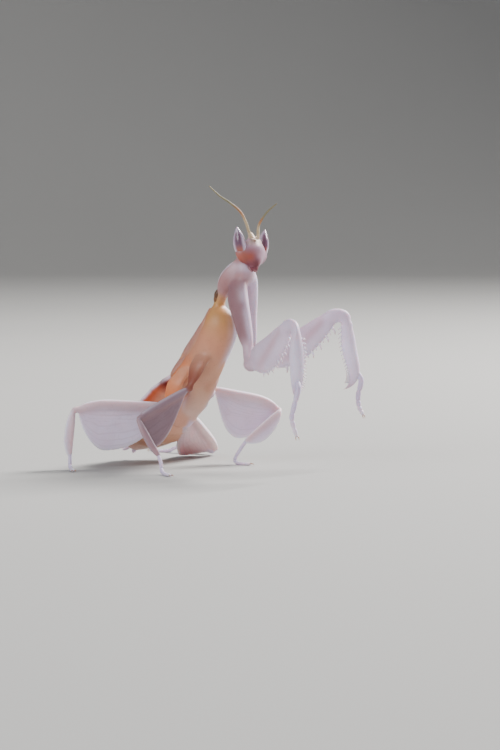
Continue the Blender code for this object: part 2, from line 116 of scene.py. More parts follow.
def new_finish(name, roughness, **constants):
    """A Principled material, its shader node and the places on the piece that it is on."""
    material = bpy.data.materials.new(name)
    material.use_nodes = True
    shader = material.node_tree.nodes["Principled BSDF"]
    shader.inputs["Roughness"].default_value = roughness
    for socket, value in constants.items():
        shader.inputs[socket.replace("_", " ")].default_value = value
    return material, shader, Strand(material.node_tree).add("ShaderNodeTexCoord", output=3)


def connect(shader, socket, strand):
    strand.tree.links.new(strand.socket, shader.inputs[socket])


def raise_bumps(shader, height, strength, distance):
    sockets = {"Strength": strength, "Distance": distance, "Height": height}
    connect(shader, "Normal", height.add("ShaderNodeBump", None, sockets))


def noise(where, scale, detail=2.0):
    return where.add("ShaderNodeTexNoise", None, {"Vector": where, "Scale": scale, "Detail": detail})


def as_object(name, bm, material):
    """A finished shape as a smooth object of one material in the scene."""
    mesh = bpy.data.meshes.new(name)
    bm.to_mesh(mesh)
    bm.free()
    mesh.shade_smooth()
    mesh.materials.append(material)
    made = bpy.data.objects.new(name, mesh)
    bpy.context.scene.collection.objects.link(made)
    return made


sweep_paint, shader, where = new_finish("sweep_paint", 0.85)
PAINT_DEEP, PAINT_PALE = (0.37, 0.366, 0.357), (0.40, 0.396, 0.388)
connect(shader, "Base Color", noise(where, 6.0).blend(PAINT_DEEP, PAINT_PALE))
raise_bumps(shader, noise(where, 900.0), 0.06, 0.0002)

FLOOR_RADIUS, CORNER, CORNER_STEPS, WALL_TOP = 0.85, 0.35, 12, 0.9
sweep = bmesh.new()
profile = [sweep.verts.new((0.0, 0.0, 0.0)), sweep.verts.new((FLOOR_RADIUS, 0.0, 0.0))]
for step in range(1, CORNER_STEPS + 1):
    turn = math.radians(90.0 * step / CORNER_STEPS)
    out, up = CORNER * math.sin(turn), CORNER * (1.0 - math.cos(turn))
    profile.append(sweep.verts.new((FLOOR_RADIUS + out, 0.0, up)))
profile.append(sweep.verts.new((FLOOR_RADIUS + CORNER, 0.0, WALL_TOP)))
for lower, upper in zip(profile, profile[1:]):
    sweep.edges.new((lower, upper))
bmesh.ops.spin(sweep, geom=sweep.verts[:] + sweep.edges[:], axis=(0, 0, 1), cent=(0, 0, 0),
               steps=96, angle=math.tau, use_merge=True, use_duplicate=False)
bmesh.ops.remove_doubles(sweep, verts=sweep.verts, dist=1e-5)
bmesh.ops.recalc_face_normals(sweep, faces=sweep.faces)
if min(sweep.faces, key=lambda f: f.calc_center_median().length).normal.z < 0:
    bmesh.ops.reverse_faces(sweep, faces=sweep.faces)
studio_sweep = as_object("studio_sweep", sweep, sweep_paint)

for name, place, size, power, colour in (
    ("lamp_behind_right", (0.40, 0.26, 0.42), 0.26, 13.0, (1.0, 0.98, 0.95)),
    ("lamp_front_left", (-0.40, -0.52, 0.42), 0.50, 4.6, (0.95, 0.97, 1.0)),
):
    lamp = bpy.data.lights.new(name, "AREA")
    lamp.size, lamp.energy, lamp.color = size, power, colour
    aimed(name, lamp, Vector(place))

world = bpy.data.worlds.new("studio_air")
world.use_nodes = True
world.node_tree.nodes["Background"].inputs["Color"].default_value = (0.93, 0.95, 1.0, 1.0)
world.node_tree.nodes["Background"].inputs["Strength"].default_value = 0.33
bpy.context.scene.world = world


# ==== Thorax ====
# The middle and rear thorax, one soft keeled barrel that carries the walking legs. Its thin
# shell lets light through: straw at the front, peach in the middle, orange towards the hips.
# All the flesh is set out in millimetres as overlapping lumps, and one skin is drawn over it.
def fresh():
    """An empty shape whose points carry a colour, the nearness of a rim, and firmness and veins."""
    bm = bmesh.new()
    bm.verts.layers.float_vector.new("unit")
    bm.verts.layers.float_color.new("tint")
    bm.verts.layers.float.new("rim")
    bm.verts.layers.float_vector.new("vein")
    return bm


def curve(values, t):
    """A number or a point on the smooth curve through the values, t running from 0 to 1."""
    place = t * (len(values) - 1)
    i = max(0, min(int(place), len(values) - 2))
    u = place - i
    a, b = values[i], values[i + 1]
    before = values[i - 1] if i > 0 else a * 2 - b
    after = values[i + 2] if i + 2 < len(values) else b * 2 - a
    return 0.5 * (2 * a + (b - before) * u + (2 * before - 5 * a + 4 * b - after) * u ** 2
                  + (3 * a - before - 3 * b + after) * u ** 3)


def points_of(rows):
    return [Vector(row) for row in rows]


def heading(points, t):
    """The way the curve through the points runs at t."""
    return (curve(points, min(1.0, t + 0.01)) - curve(points, max(0.0, t - 0.01))).normalized()


def mix(a, b, t):
    return a + (b - a) * t


def step_up(low, high, value):
    """A soft step from 0 to 1 as the value goes from low to high."""
    share = min(1.0, max(0.0, (value - low) / (high - low)))
    return share * share * (3 - 2 * share)


def bump_at(value, place, width):
    """A soft hill of height 1 about a place."""
    return math.exp(-((value - place) / width) ** 2)


def spread(count):
    """Places from 0 to 1 that crowd towards both ends, where a limb rounds off."""
    return [0.5 - 0.5 * math.cos(math.pi * i / (count - 1)) for i in range(count)]


def blunt(t, power=6.0, least=0.2):
    """How much of its full thickness a limb has at t, so that both its ends are round."""
    return max(least, math.sqrt(max(0.0, 1.0 - abs(2.0 * t - 1.0) ** power)))


def oval(centre, along, up, rise, drop, half_side, fold=1.0):
    """Where a ring's points go: an oval square to the limb. A fold above 1 thins its sides."""
    side = along.cross(up).normalized()
    true_up = side.cross(along).normalized()

    def place(unit):
        height = abs(unit.y) ** fold * (rise if unit.y > 0 else -drop)
        return centre + side * (unit.x * half_side) + true_up * height

    return place


def loft(bm, count, sides, station, paint):
    """A closed form: a ring is drawn along its stations, painted, and capped at both ends."""
    layers = bm.verts.layers
    unit, tint = layers.float_vector["unit"], layers.float_color["tint"]
    rim, vein = layers.float["rim"], layers.float_vector["vein"]
    ring = bmesh.ops.create_circle(bm, cap_ends=True, segments=sides, radius=1.0)["verts"]
    edges = list({e for v in ring for e in v.link_edges})
    for v in ring:
        v[unit] = v.co
    for i, t in enumerate(spread(count)):
        if i:
            grown = bmesh.ops.extrude_edge_only(bm, edges=edges)["geom"]
            ring = [g for g in grown if isinstance(g, bmesh.types.BMVert)]
            members = set(ring)
            edges = [g for g in grown if isinstance(g, bmesh.types.BMEdge)
                     and members.issuperset(g.verts)]
        place = station(t)
        for v in ring:
            v.co = place(v[unit])
            colour, near_rim, vein_place = paint(t, v[unit])
            v[tint], v[rim], v[vein] = (*colour, 1.0), near_rim, vein_place
    bmesh.ops.edgeloop_fill(bm, edges=edges)


NO_VEIN, FIRM_EDGE = (0.0, 0.0, 0.0), (1.0, 0.0, 0.0)


def plain(colour):
    """A paint of one colour all over."""
    return lambda t, unit: (colour, 0.0, NO_VEIN)


def graded(*colours):
    """A paint that goes from one colour to the next along a limb."""
    colours = points_of(colours)
    return lambda t, unit: (curve(colours, t), 0.0, NO_VEIN)


BODY_TURN = math.radians(38.0)
LEFT = Vector((math.sin(BODY_TURN), math.cos(BODY_TURN), 0.0))
AHEAD = Vector((math.cos(BODY_TURN), -math.sin(BODY_TURN), 0.0))

LILAC_WHITE, STRAW, PEACH = points_of([(0.71, 0.60, 0.76), (0.58, 0.29, 0.11), (0.64, 0.29, 0.17)])
ORANGE, PAD_SHADOW_BRICK, BELLY_PEACH = points_of([(0.78, 0.24, 0.08), (0.46, 0.13, 0.08), (0.68, 0.36, 0.24)])

ABDOMEN_BASE = (-5.2, 2.0, 12.4)
TRUNK = points_of([ABDOMEN_BASE, (-2.0, -0.4, 16.1), (0.3, -2.4, 20.7), (0.5, -2.5, 24.4)])


def back_of(along, roll=0.0):
    """The way the insect's back faces where its midline runs towards the head along."""
    return Matrix.Rotation(-roll, 3, along) @ along.cross(LEFT).normalized()


def trunk_station(points, start, end, shape, roll=0.0):
    """Stations along part of the midline, where shape(place, t) gives rise, drop, side and fold."""

    def station(t):
        place = mix(start, end, t)
        along = heading(points, min(1.0, max(0.0, place)))
        up = back_of(along, roll)
        rise, drop, half_side, fold = shape(place, t)
        beyond = max(0.0, place - 1.0) + min(0.0, place)
        centre = curve(points, min(1.0, max(0.0, place))) + along * beyond * 12.0
        return oval(centre, along, up, rise, drop, half_side, fold)

    return station


def thorax_shape(place, t):
    side = curve([3.3, 2.7, 2.9, 2.6, 1.2], place)
    drop = curve([2.0, 3.55, 3.65, 3.2, 1.3], place)
    rise = curve([1.5, 2.2, 2.7, 2.5, 2.1, 1.4, 0.85], place)
    ends = blunt(t, 12, 0.6)
    return rise * ends, drop * ends, side * ends, 0.9


def thorax_paint(t, unit):
    colour = curve([ORANGE, ORANGE, PEACH, PEACH, STRAW, STRAW], t)
    colour = mix(colour, BELLY_PEACH, step_up(0.0, 0.6, -unit.y) * step_up(0.6, 0.3, t))
    # A brick-red band high on the flanks is painted shade, where the wing pads' edges shadow the body.
    colour = mix(colour, PAD_SHADOW_BRICK, 0.6 * bump_at(unit.y, 0.35, 0.22) * abs(unit.x))
    # A white stripe along the far lower flank is painted rim light, as of light through the thin backlit
    # edge; it also feeds the finish's rim whitening.
    backlit_rim = step_up(-0.06, 0.10, -unit.x) * step_up(0.92, 0.72, -unit.x)
    backlit_rim *= step_up(0.1, 0.5, -unit.y)
    colour = mix(colour, LILAC_WHITE, 0.85 * backlit_rim)
    # A lilac line along a fold of the underside is a painted highlight on its edge.
    fold = bump_at(unit.x, mix(-0.3, 0.5, t), 0.10) * step_up(0.0, 0.5, -unit.y) * step_up(0.9, 0.7, t)
    colour = mix(colour, LILAC_WHITE, 0.35 * fold)
    return colour, backlit_rim, NO_VEIN


flesh = fresh()
loft(flesh, 40, 40, trunk_station(TRUNK, 0.0, 1.0, thorax_shape), thorax_paint)

# ==== Abdomen ====
# A broad thin leaf of seven segments, each flaring over the next in a low rim, on a narrow root
# that runs into the thorax. It glows orange, paler below and at the tip, whitened to either side
# with painted rim light, and with one dark red mark near its root.
ABDOMEN_SEGMENTS = 7
ABDOMEN_ROLL = math.radians(20.0)
ABDOMEN = points_of([(-12.7, 8.2, 2.1), (-8.2, 5.0, 7.0), ABDOMEN_BASE])
ABDOMEN_ORANGE, MARK_RED = Vector((0.52, 0.085, 0.02)), Vector((0.16, 0.004, 0.001))
UNDERSIDE = Vector((0.74, 0.40, 0.27))


def abdomen_shape(place, t):
    along_segment = (place * ABDOMEN_SEGMENTS) % 1.0
    flare = 1.015 - 0.03 * along_segment + 0.02 * bump_at(along_segment, 0.08, 0.1)
    side = curve([1.4, 4.1, 5.8, 6.1, 5.9, 5.1, 4.5, 3.2], place) * flare
    drop = curve([0.7, 2.0, 2.7, 2.5, 2.2, 1.6], place) * flare
    rise = curve([0.4, 0.6, 0.8, 1.1, 1.3, 1.0], place) * flare
    return rise, drop, side, 1.5


def abdomen_paint(t, unit):
    colour = curve([LILAC_WHITE, PEACH, PEACH, ABDOMEN_ORANGE, ABDOMEN_ORANGE, ABDOMEN_ORANGE], t)
    # The white edge to either side is painted rim light, as of light through the thin edges; it also
    # feeds the finish's rim whitening.
    edge = step_up(0.95, 0.998, abs(unit.x)) * step_up(1.0, 0.93, t)
    mark = bump_at(t, 0.985, 0.055) * step_up(0.66, 0.82, unit.x * 0.90 - unit.y * 0.43)
    colour = mix(colour, UNDERSIDE, 0.8 * step_up(0.45, 0.9, -unit.y))
    colour = mix(mix(colour, LILAC_WHITE, edge), MARK_RED, mark)
    return colour, edge, FIRM_EDGE


def root_shape(place, t):
    side = curve([3.5, 3.3, 2.8, 2.3, 1.6], t) * blunt(t, 8, 0.4)
    return 0.8, 1.2, side, 1.0


def root_paint(t, unit):
    # The white edge here is painted rim light as well.
    edge = step_up(0.90, 1.0, unit.x)
    mark = bump_at(t, 0.2, 0.3) * step_up(0.55, 0.75, unit.x * 0.90 - unit.y * 0.43)
    return mix(mix(ABDOMEN_ORANGE, LILAC_WHITE, edge), MARK_RED, mark), edge * 0.5, FIRM_EDGE


loft(flesh, 85, 36, trunk_station(ABDOMEN, 0.0, 1.0, abdomen_shape, ABDOMEN_ROLL), abdomen_paint)
loft(flesh, 16, 28, trunk_station(ABDOMEN, 0.95, 1.13, root_shape, ABDOMEN_ROLL), root_paint)

# ==== Front segment and neck ====
# The slim front segment under its shield, from which the forelegs hang, and the short soft
# neck. Its flesh runs on down inside the brown collar into the thorax.
PRONOTUM = points_of([(1.2, -3.1, 26.2), (2.5, -4.1, 28.6), (4.0, -5.4, 30.6)])
WAIST = points_of([(0.55, -2.6, 23.4), (0.95, -2.9, 25.0), (1.7, -3.5, 26.9)])
BLUSH = Vector((0.43, 0.225, 0.235))


def add_limb(bm, count, sides, path, radii, up, paint, flat=1.0, power=6.0, least=0.2,
             keel=(0.0, 0.0), waist=lambda t: 1.0):
    """Lofts a round-ended limb: flat widens it, a keel (height, angle) runs along it, waists thin it."""
    points, (height, angle) = points_of(path), keel
    crest = Vector((math.cos(angle), math.sin(angle), 0.0))

    def station(t):
        radius = curve(radii, t) * blunt(t, power, least) * waist(t)
        place = oval(curve(points, t), heading(points, t), up, radius, radius, radius * flat)

        def keeled(unit):
            sharp = max(0.0, unit.dot(crest)) ** 10
            return place(unit * (1.0 + height * sharp))

        return keeled if height else place

    loft(bm, count, sides, station, paint)


def front_shape(place, t):
    side = curve([1.0, 1.6, 2.05, 1.85, 1.3], t) * blunt(t, 8, 0.6)
    rise = curve([1.0, 1.1, 1.05, 0.95, 0.9], t) * blunt(t, 5, 0.6)
    return rise, 1.75 * blunt(t, 4, 0.5), side, 0.85


THROAT_LILAC = (0.66, 0.48, 0.54)
front_paint = graded(BLUSH, BLUSH, THROAT_LILAC)
loft(flesh, 30, 32, trunk_station(PRONOTUM, -0.06, 1.04, front_shape), front_paint)
add_limb(flesh, 14, 20, WAIST, [0.95, 0.72, 0.85], AHEAD, graded(STRAW, STRAW, BLUSH), 1.3)
for path, radii in (
    ([(3.4, -6.4, 28.3), (4.5, -5.4, 28.9), (5.4, -4.1, 29.3)], [1.2, 1.6, 1.15]),
    ([(3.3, -5.0, 28.6), (4.5, -5.6, 29.7), (5.3, -6.2, 30.6)], [1.3, 1.5, 1.0]),
):
    whitening = graded(BLUSH, mix(BLUSH, LILAC_WHITE, 0.45), LILAC_WHITE)
    add_limb(flesh, 20, 24, path, radii, AHEAD, whitening)

# ==== Head capsule ====
# A three-cornered case, widest between the eyes and drawn down to the mouth. A low crest runs
# across the brow, and a raised shield and cheeks stand on its face.
HEAD_TURN, HEAD_LEAN, HEAD_ROLL = math.radians(44.0), math.radians(14.0), math.radians(5.0)
HEAD_CENTRE = Vector((5.9, -7.1, 32.6))
HEAD_LEVEL = Vector((math.cos(HEAD_TURN), -math.sin(HEAD_TURN), 0.0))
HEAD_LEFT = Vector((math.sin(HEAD_TURN), math.cos(HEAD_TURN), 0.0))
HEAD_UP = Vector((0, 0, 1)) * math.cos(HEAD_LEAN) - HEAD_LEVEL * math.sin(HEAD_LEAN)
HEAD_FRONT = HEAD_LEFT.cross(HEAD_UP)
HEAD_LEFT, HEAD_UP = (HEAD_LEFT * math.cos(HEAD_ROLL) - HEAD_UP * math.sin(HEAD_ROLL),
                      HEAD_UP * math.cos(HEAD_ROLL) + HEAD_LEFT * math.sin(HEAD_ROLL))
FACE_LILAC, FACE_SHADE_MAUVE, CREAM = points_of([(0.41, 0.27, 0.35), (0.32, 0.17, 0.22), (0.55, 0.41, 0.30)])
CHEEK_PINK, CHEEK_BROWN = Vector((0.43, 0.15, 0.13)), Vector((0.38, 0.10, 0.07))
CHEEK_RED, CHIN_MAROON = Vector((0.44, 0.075, 0.03)), Vector((0.20, 0.05, 0.07))


def on_head(left, front, up):
    """A place on the head, in its own directions from its centre."""
    return HEAD_CENTRE + HEAD_LEFT * left + HEAD_FRONT * front + HEAD_UP * up


def head_limb(bm, count, sides, rows, radii, paint, *form):
    """A limb on the head, its path given in the head's own directions."""
    add_limb(bm, count, sides, [on_head(*row) for row in rows], radii, HEAD_FRONT, paint, *form)


def capsule_station(t):
    front = curve([0.5, 0.85, 1.05, 1.15, 1.15, 1.05, 0.9, 0.75, 0.55], t) * blunt(t, 10, 0.5)
    rear = curve([0.6, 1.0, 1.3, 1.5, 1.6, 1.5, 1.2, 0.9, 0.55], t) * blunt(t, 10, 0.5)
    side = curve([0.7, 1.4, 1.95, 2.25, 2.2, 1.9, 1.5, 1.1, 0.75], t) * blunt(t, 14, 0.5)
    centre = on_head(0.0, mix(0.0, -0.35, t), mix(1.8, -2.95, t))
    return oval(centre, -HEAD_UP, HEAD_FRONT, front, rear, side)


def capsule_paint(t, unit):
    """Lilac, darkened to mauve on the near half as painted shade, cream at the brow, flushed red on the
    near cheek, partly its own red and partly painted shade, and maroon down to the chin.
    """
    # The near half of the face is painted mauve as shade, the far half left lilac where the light falls.
    colour = mix(FACE_LILAC, FACE_SHADE_MAUVE, step_up(-0.5, 0.2, unit.x))
    colour = mix(mix(CREAM, FACE_LILAC, step_up(0.1, 0.3, t)), colour, step_up(0.2, 0.5, t))
    cheek = unit.x * 0.97 + unit.y * 0.25
    # The red flush on the near cheek is partly the cheek's own red and partly painted shade.
    colour = mix(colour, CHEEK_RED, 0.9 * bump_at(t, 0.65, 0.17) * step_up(0.35, 0.8, cheek))
    chin = unit.x * 0.60 + unit.y * 0.80
    return mix(colour, CHIN_MAROON, step_up(0.66, 0.86, t) * step_up(-0.1, 0.7, chin)), 0.0, NO_VEIN


loft(flesh, 34, 40, capsule_station, capsule_paint)
neck_path = [curve(PRONOTUM, 0.85), curve(PRONOTUM, 1.0), on_head(0.0, -1.2, -0.6)]
add_limb(flesh, 12, 20, neck_path, [1.1, 1.05, 1.0], AHEAD, plain(BLUSH))
for sign in (-1.0, 1.0):
    cheek = [(sign * 2.3, -0.5, 0.35), (sign * 2.0, -0.65, -0.8), (sign * 1.1, -0.6, -2.0)]
    flush = [FACE_LILAC, CHEEK_PINK, CHEEK_BROWN, CHIN_MAROON] if sign < 0 else [FACE_LILAC, FACE_SHADE_MAUVE]
    shade_edge = -0.9 if sign < 0 else -0.1

    def cheek_paint(t, unit):
        # Each cheek turns from lilac to its flush on its shaded side: painted shade, which on the near
        # cheek also carries that cheek's own red.
        in_shade = step_up(shade_edge, shade_edge + 0.7, unit.y * 0.8 - unit.x * 0.6 * sign)
        return mix(FACE_LILAC, curve(flush, t), in_shade), 0.0, NO_VEIN

    head_limb(flesh, 22, 22, cheek, [0.86, 0.9, 0.6], cheek_paint, 1.0, 5.0, 0.5)
face_shield = [(-0.8, 0.75, 0.15), (0.0, 0.85, 0.25), (0.8, 0.75, 0.15)]
head_limb(flesh, 12, 14, face_shield, [0.26, 0.34, 0.26], plain(FACE_LILAC))
brow = [(-1.5, 0.15, 1.35), (-0.1, 0.25, 1.25), (1.5, 0.15, 1.35)]
head_limb(flesh, 18, 16, brow, [0.5, 0.62, 0.5], graded(FACE_LILAC, CREAM, FACE_LILAC), 0.9)
nose = [(0.0, 0.65, -0.9), (0.0, 0.3, -1.9), (0.0, -0.15, -2.75)]
head_limb(flesh, 14, 16, nose, [0.36, 0.42, 0.4], graded(FACE_LILAC, CHIN_MAROON, CHIN_MAROON), 1.5)

# ==== Forelegs ====
# The catching pair: a long three-sided hip piece, a short knuckle, a deep thin thigh and a half
# open sickle-shaped shin. The flesh is waxy white with a pink flush; the near hip is painted mauve
# as shade, with a painted highlight along its ridge, and a pink line of painted shadow runs down each
# thigh.
FORELEGS = {
    "right": dict(
        coxa=[(4.1, -5.2, 29.6), (3.5, -6.7, 26.0), (4.3, -7.8, 21.8), (5.15, -8.6, 17.8)],
        femur=[(5.35, -10.0, 15.8), (8.2, -14.4, 18.0), (11.2, -18.9, 22.5)],
        below=(0.1, 0.2, -1.0), inward=(1.0, 0.3, 0.0),
        tibia=[(11.9, -20.4, 22.2), (12.0, -20.7, 17.5), (12.0, -20.5, 14.0), (11.7, -19.5, 12.5),
               (11.4, -18.4, 11.9)],
        tarsus=[(12.2, -21.5, 13.2), (11.6, -21.6, 10.6), (11.3, -21.4, 8.8), (12.0, -21.1, 6.3)],
        hip_radii=[0.8, 1.5, 1.75, 1.55, 1.35, 1.2], keel_turn=60.0, spine_size=0.6),
    "left": dict(
        coxa=[(5.3, -4.3, 30.0), (5.25, -3.4, 26.2), (5.25, -2.9, 22.0), (5.6, -2.6, 17.8)],
        femur=[(7.1, -2.5, 15.8), (12.7, -2.3, 18.4), (18.3, -2.1, 23.2)],
        below=(0.3, 0.0, -1.0), inward=(-1.0, 0.0, 0.0),
        tibia=[(19.6, -2.0, 22.9), (20.1, -2.0, 18.0), (20.9, -2.0, 14.2), (20.2, -2.0, 12.2),
               (18.6, -2.0, 11.3)],
        tarsus=[(21.9, -2.0, 13.1), (21.5, -2.0, 10.8), (21.6, -2.0, 9.2), (22.2, -2.0, 7.8)],
        hip_radii=[1.2, 1.35, 1.35, 1.25, 1.15, 1.1], keel_turn=120.0, spine_size=1.0),
}
PINK_SHADOW_LINE, MAUVE_SHADE_AND_HOOK, SNOW = points_of([(0.58, 0.24, 0.28), (0.28, 0.145, 0.165), (0.80, 0.72, 0.90)])
KNUCKLE_PINK = mix(BLUSH, LILAC_WHITE, 0.5)
KEEL_HEIGHT = 0.10


def thigh_paint(t, unit):
    """White, with a pink line that runs slantwise down each flat side: painted shadow of the ridge above
    it.
    """
    colour = mix(LILAC_WHITE, SNOW, step_up(-0.1, 0.5, unit.y))
    line = bump_at(unit.y, mix(0.75, -0.55, t), 0.16)
    colour = mix(colour, PINK_SHADOW_LINE, 0.65 * line * step_up(0.1, 0.3, t) * (1 - step_up(0.8, 0.95, t)))
    return mix(colour, BLUSH, 0.15 + 0.5 * (1 - step_up(0.0, 0.16, t))), 0.0, NO_VEIN


def hip_paint(name):
    """The near hip is mauve as painted shade, with a painted highlight on its ridge and a dark spot; the
    other one bright all over.
    """

    def paint(t, unit):
        if name == "left":
            return mix(SNOW, LILAC_WHITE, t), 0.0, NO_VEIN
        # The near hip's mauve is painted shade: it faces away from the light.
        colour = mix(BLUSH, MAUVE_SHADE_AND_HOOK, step_up(0.0, 0.3, t))
        # A pale band along the ridge is a painted highlight.
        ridge = step_up(0.58, 0.82, unit.y) * step_up(0.12, 0.4, t)
        colour = mix(colour, LILAC_WHITE, 0.85 * ridge)
        colour = mix(colour, KNUCKLE_PINK, step_up(0.8, 1.0, t))
        spot = bump_at(t, 0.49, 0.035) * step_up(0.95, 0.985, (unit.x + unit.y) * 0.707)
        return mix(colour, CHIN_MAROON, spot), 0.0, NO_VEIN

    return paint


for name, leg in FORELEGS.items():
    for part in ("coxa", "femur", "tibia", "tarsus"):
        leg[part] = points_of(leg[part])
    coxa, femur, tibia = leg["coxa"], leg["femur"], leg["tibia"]
    below, inward = Vector(leg["below"]), Vector(leg["inward"])
    keel = (KEEL_HEIGHT, math.radians(leg["keel_turn"]))
    add_limb(flesh, 40, 30, coxa, leg["hip_radii"], AHEAD, hip_paint(name), 0.7, keel=keel)
    down = (coxa[-1] - coxa[-2]).normalized()
    knuckle = [coxa[-1] - down * 1.2, coxa[-1] + down * 0.3, mix(coxa[-1] + down * 1.0, femur[0], 0.5),
               femur[0], mix(femur[0], femur[1], 0.25)]
    add_limb(flesh, 20, 22, knuckle, [1.0, 1.0, 1.0, 1.1, 1.3], AHEAD, plain(KNUCKLE_PINK))
    add_limb(flesh, 40, 30, femur, [1.2, 2.1, 2.4, 2.3, 1.95, 1.6, 1.25], below, thigh_paint, 0.4, 5.0,
             0.4)
    knee = [curve(femur, 0.80), curve(femur, 0.93), mix(femur[-1], tibia[0], 0.6) - Vector((0, 0, 0.35)),
            curve(tibia, 0.06), curve(tibia, 0.14)]
    add_limb(flesh, 26, 22, knee, [1.2, 1.2, 1.05, 1.0, 1.0], below, plain(LILAC_WHITE), 0.62)
    # The mauve at the shin's tip is the hook's own colour.
    add_limb(flesh, 48, 22, tibia, [1.0, 1.25, 1.15, 0.95, 0.6, 0.3, 0.1], inward,
             graded(LILAC_WHITE, SNOW, LILAC_WHITE, MAUVE_SHADE_AND_HOOK), 0.75, 4.0)

# ==== Walking legs ====
# Four legs whose thighs and shins each carry a thin rounded petal along one side. The petals
# are waxy sheets whose rims are whitened with painted rim light, with a pink line of painted shadow
# under the shaft, and fine veins that run along them and spread where they are deep.
WALKING_LEGS = {
    "mid_right": dict(
        # This near middle leg stands in the insect's shadow with the light behind: its dark hip, petal
        # and shaft tints are painted shade, and it gets less painted rim light.
        root=(-1.5, -3.9, 17.6), hip=(-3.7, -5.1, 12.0), knee=(-11.0, -9.6, 8.0),
        ankle=(-7.8, -12.2, 2.4), heel=(-7.5, -13.2, 0.4), toe=(-6.2, -16.2, 0.24),
        hip_radii=[1.1, 1.45, 1.4, 1.0, 0.6], girth=1.0, hip_rim_light=0.0, slim=0.62, rim=0.4,
        hang=(0.16, 0.4, -1.0), petal=6.1, peak=0.86, swell=1.2,
        fin=0.8, lean=(-0.2, -0.9, 0.0), bow=0.1, knee_room=0.2,
        hip_tint=(0.27, 0.08, 0.05), petal_tint=(0.29, 0.19, 0.235), shaft_tint=(0.31, 0.21, 0.26)),
    "mid_left": dict(
        root=(0.6, 1.0, 18.2), hip=(-0.3, 1.3, 11.5), knee=(9.8, 4.6, 8.1),
        ankle=(4.5, 1.2, 3.5), heel=(2.9, 1.2, 0.5), toe=(5.4, 0.0, 0.24),
        hip_radii=[0.6, 0.8625, 0.975, 0.825, 0.75], girth=0.75, hip_rim_light=1.0, slim=0.8, rim=1.0,
        hang=(-0.2, 0.1, -1.0), petal=6.7, peak=0.58, swell=1.05,
        fin=1.9, lean=(0.2, -1.1, -0.1), bow=0.6, knee_room=0.3,
        hip_tint=(0.70, 0.42, 0.32), petal_tint=(0.74, 0.66, 0.83), shaft_tint=(0.72, 0.54, 0.60)),
    "hind_right": dict(
        root=(-4.6, -2.8, 15.0), hip=(-7.2, -2.4, 9.2), knee=(-20.6, -5.0, 8.9),
        ankle=(-21.4, -5.7, 1.8), heel=(-21.3, -6.4, 0.4), toe=(-20.6, -9.8, 0.24),
        hip_radii=[0.92, 1.3225, 1.495, 1.265, 0.75], girth=1.15, hip_rim_light=0.0, slim=0.85, rim=1.0,
        hang=(0.0, 0.0, -1.0), petal=7.0, peak=0.7, swell=0.6,
        fin=1.1, lean=(-0.35, -0.1, 0.0), bow=0.6, knee_room=0.4,
        hip_tint=(0.80, 0.26, 0.10), petal_tint=(0.77, 0.69, 0.86), shaft_tint=(0.74, 0.56, 0.62)),
    "hind_left": dict(
        root=(-0.4, 1.3, 14.2), hip=(-3.2, 2.35, 7.1), knee=(0.1, 15.2, 1.05),
        ankle=(-6.3, 19.6, 0.95), heel=(-7.2, 20.2, 0.35), toe=(-10.4, 21.2, 0.24),
        hip_radii=[0.8, 1.15, 1.3, 1.1, 0.75], girth=1.0, hip_rim_light=0.0, slim=0.7, rim=0.9,
        hang=(-0.94, 0.04, -0.24), petal=5.9, peak=0.88, swell=0.85,
        fin=1.1, lean=(0.0, 0.9, 0.0), bow=0.2, knee_room=0.3,
        hip_tint=(0.75, 0.50, 0.42), petal_tint=(0.79, 0.65, 0.70), shaft_tint=(0.75, 0.57, 0.57)),
}
HIP_RADIUS = 0.68
THIGH_SHAFT, SHIN_SHAFT = (0.75, 0.85, 0.8, 0.72), (0.48, 0.5, 0.42, 0.36)
KNEE_RADII = (0.62, 0.58, 0.5, 0.45)
PETAL_EDGE, PETAL_VEINS = 0.25, 9


def petal_depth(t, peak, depth, swell):
    """How far a petal hangs at t, swelling to depth at its peak and rounding off after it."""
    if t < peak:
        return depth * math.sin(0.5 * math.pi * t / peak) ** swell
    return depth * math.cos(0.5 * math.pi * (t - peak) / (1.0 - peak)) ** 0.6


def add_petal_limb(start, end, down, shafts, petal, count, colours, rim_share=1.0):
    """A limb with a thin rounded petal all along one side, its shaft bowed the other way."""
    depth, peak, swell, bow = petal
    petal_colour, shaft_colour = points_of(colours)
    along = (end - start).normalized()
    side = along.cross(down).normalized()
    true_down = side.cross(along).normalized()
    if true_down.dot(down) < 0:
        true_down.negate()

    def sink_at(t, unit, shaft):
        if unit.y > 0:
            return -shaft * unit.y
        return max(shaft, petal_depth(t, peak, depth, swell)) * abs(unit.y) ** 1.5

    def station(t):
        shaft = curve(shafts, t) * blunt(t, 10, 0.45)
        centre = mix(start, end, t) - down.normalized() * (bow * math.sin(math.pi * t * t))

        def place(unit):
            sink = sink_at(t, unit, shaft)
            thick = PETAL_EDGE + (shaft - PETAL_EDGE) * math.exp(-((sink / shaft) ** 2))
            full = min(1.0, 2.2 * abs(unit.x))
            return centre + side * math.copysign(thick * full, unit.x) + true_down * sink

        return place

    def paint(t, unit):
        shaft = curve(shafts, t)
        sink = sink_at(t, unit, shaft)
        hang = max(shaft, petal_depth(t, peak, depth, swell))
        share = max(0.0, sink / hang)
        colour = mix(shaft_colour, petal_colour, step_up(0.2, 1.2, sink / shaft))
        # A pink-peach line just under the shaft is painted shadow.
        colour = mix(colour, PINK_SHADOW_LINE * 0.5 + PEACH * 0.5, 0.30 * bump_at(sink, shaft * 1.15, 0.28))
        # The nearness of the rim, whitened later in the finish as painted rim light.
        near_rim = max(step_up(0.55, 0.1, (hang - sink)), step_up(0.75, 1.0, unit.y))
        strength = step_up(0.6, 1.4, sink / shaft)
        return colour, near_rim * rim_share, (1.0, share, strength)

    loft(flesh, count, 44, station, paint)


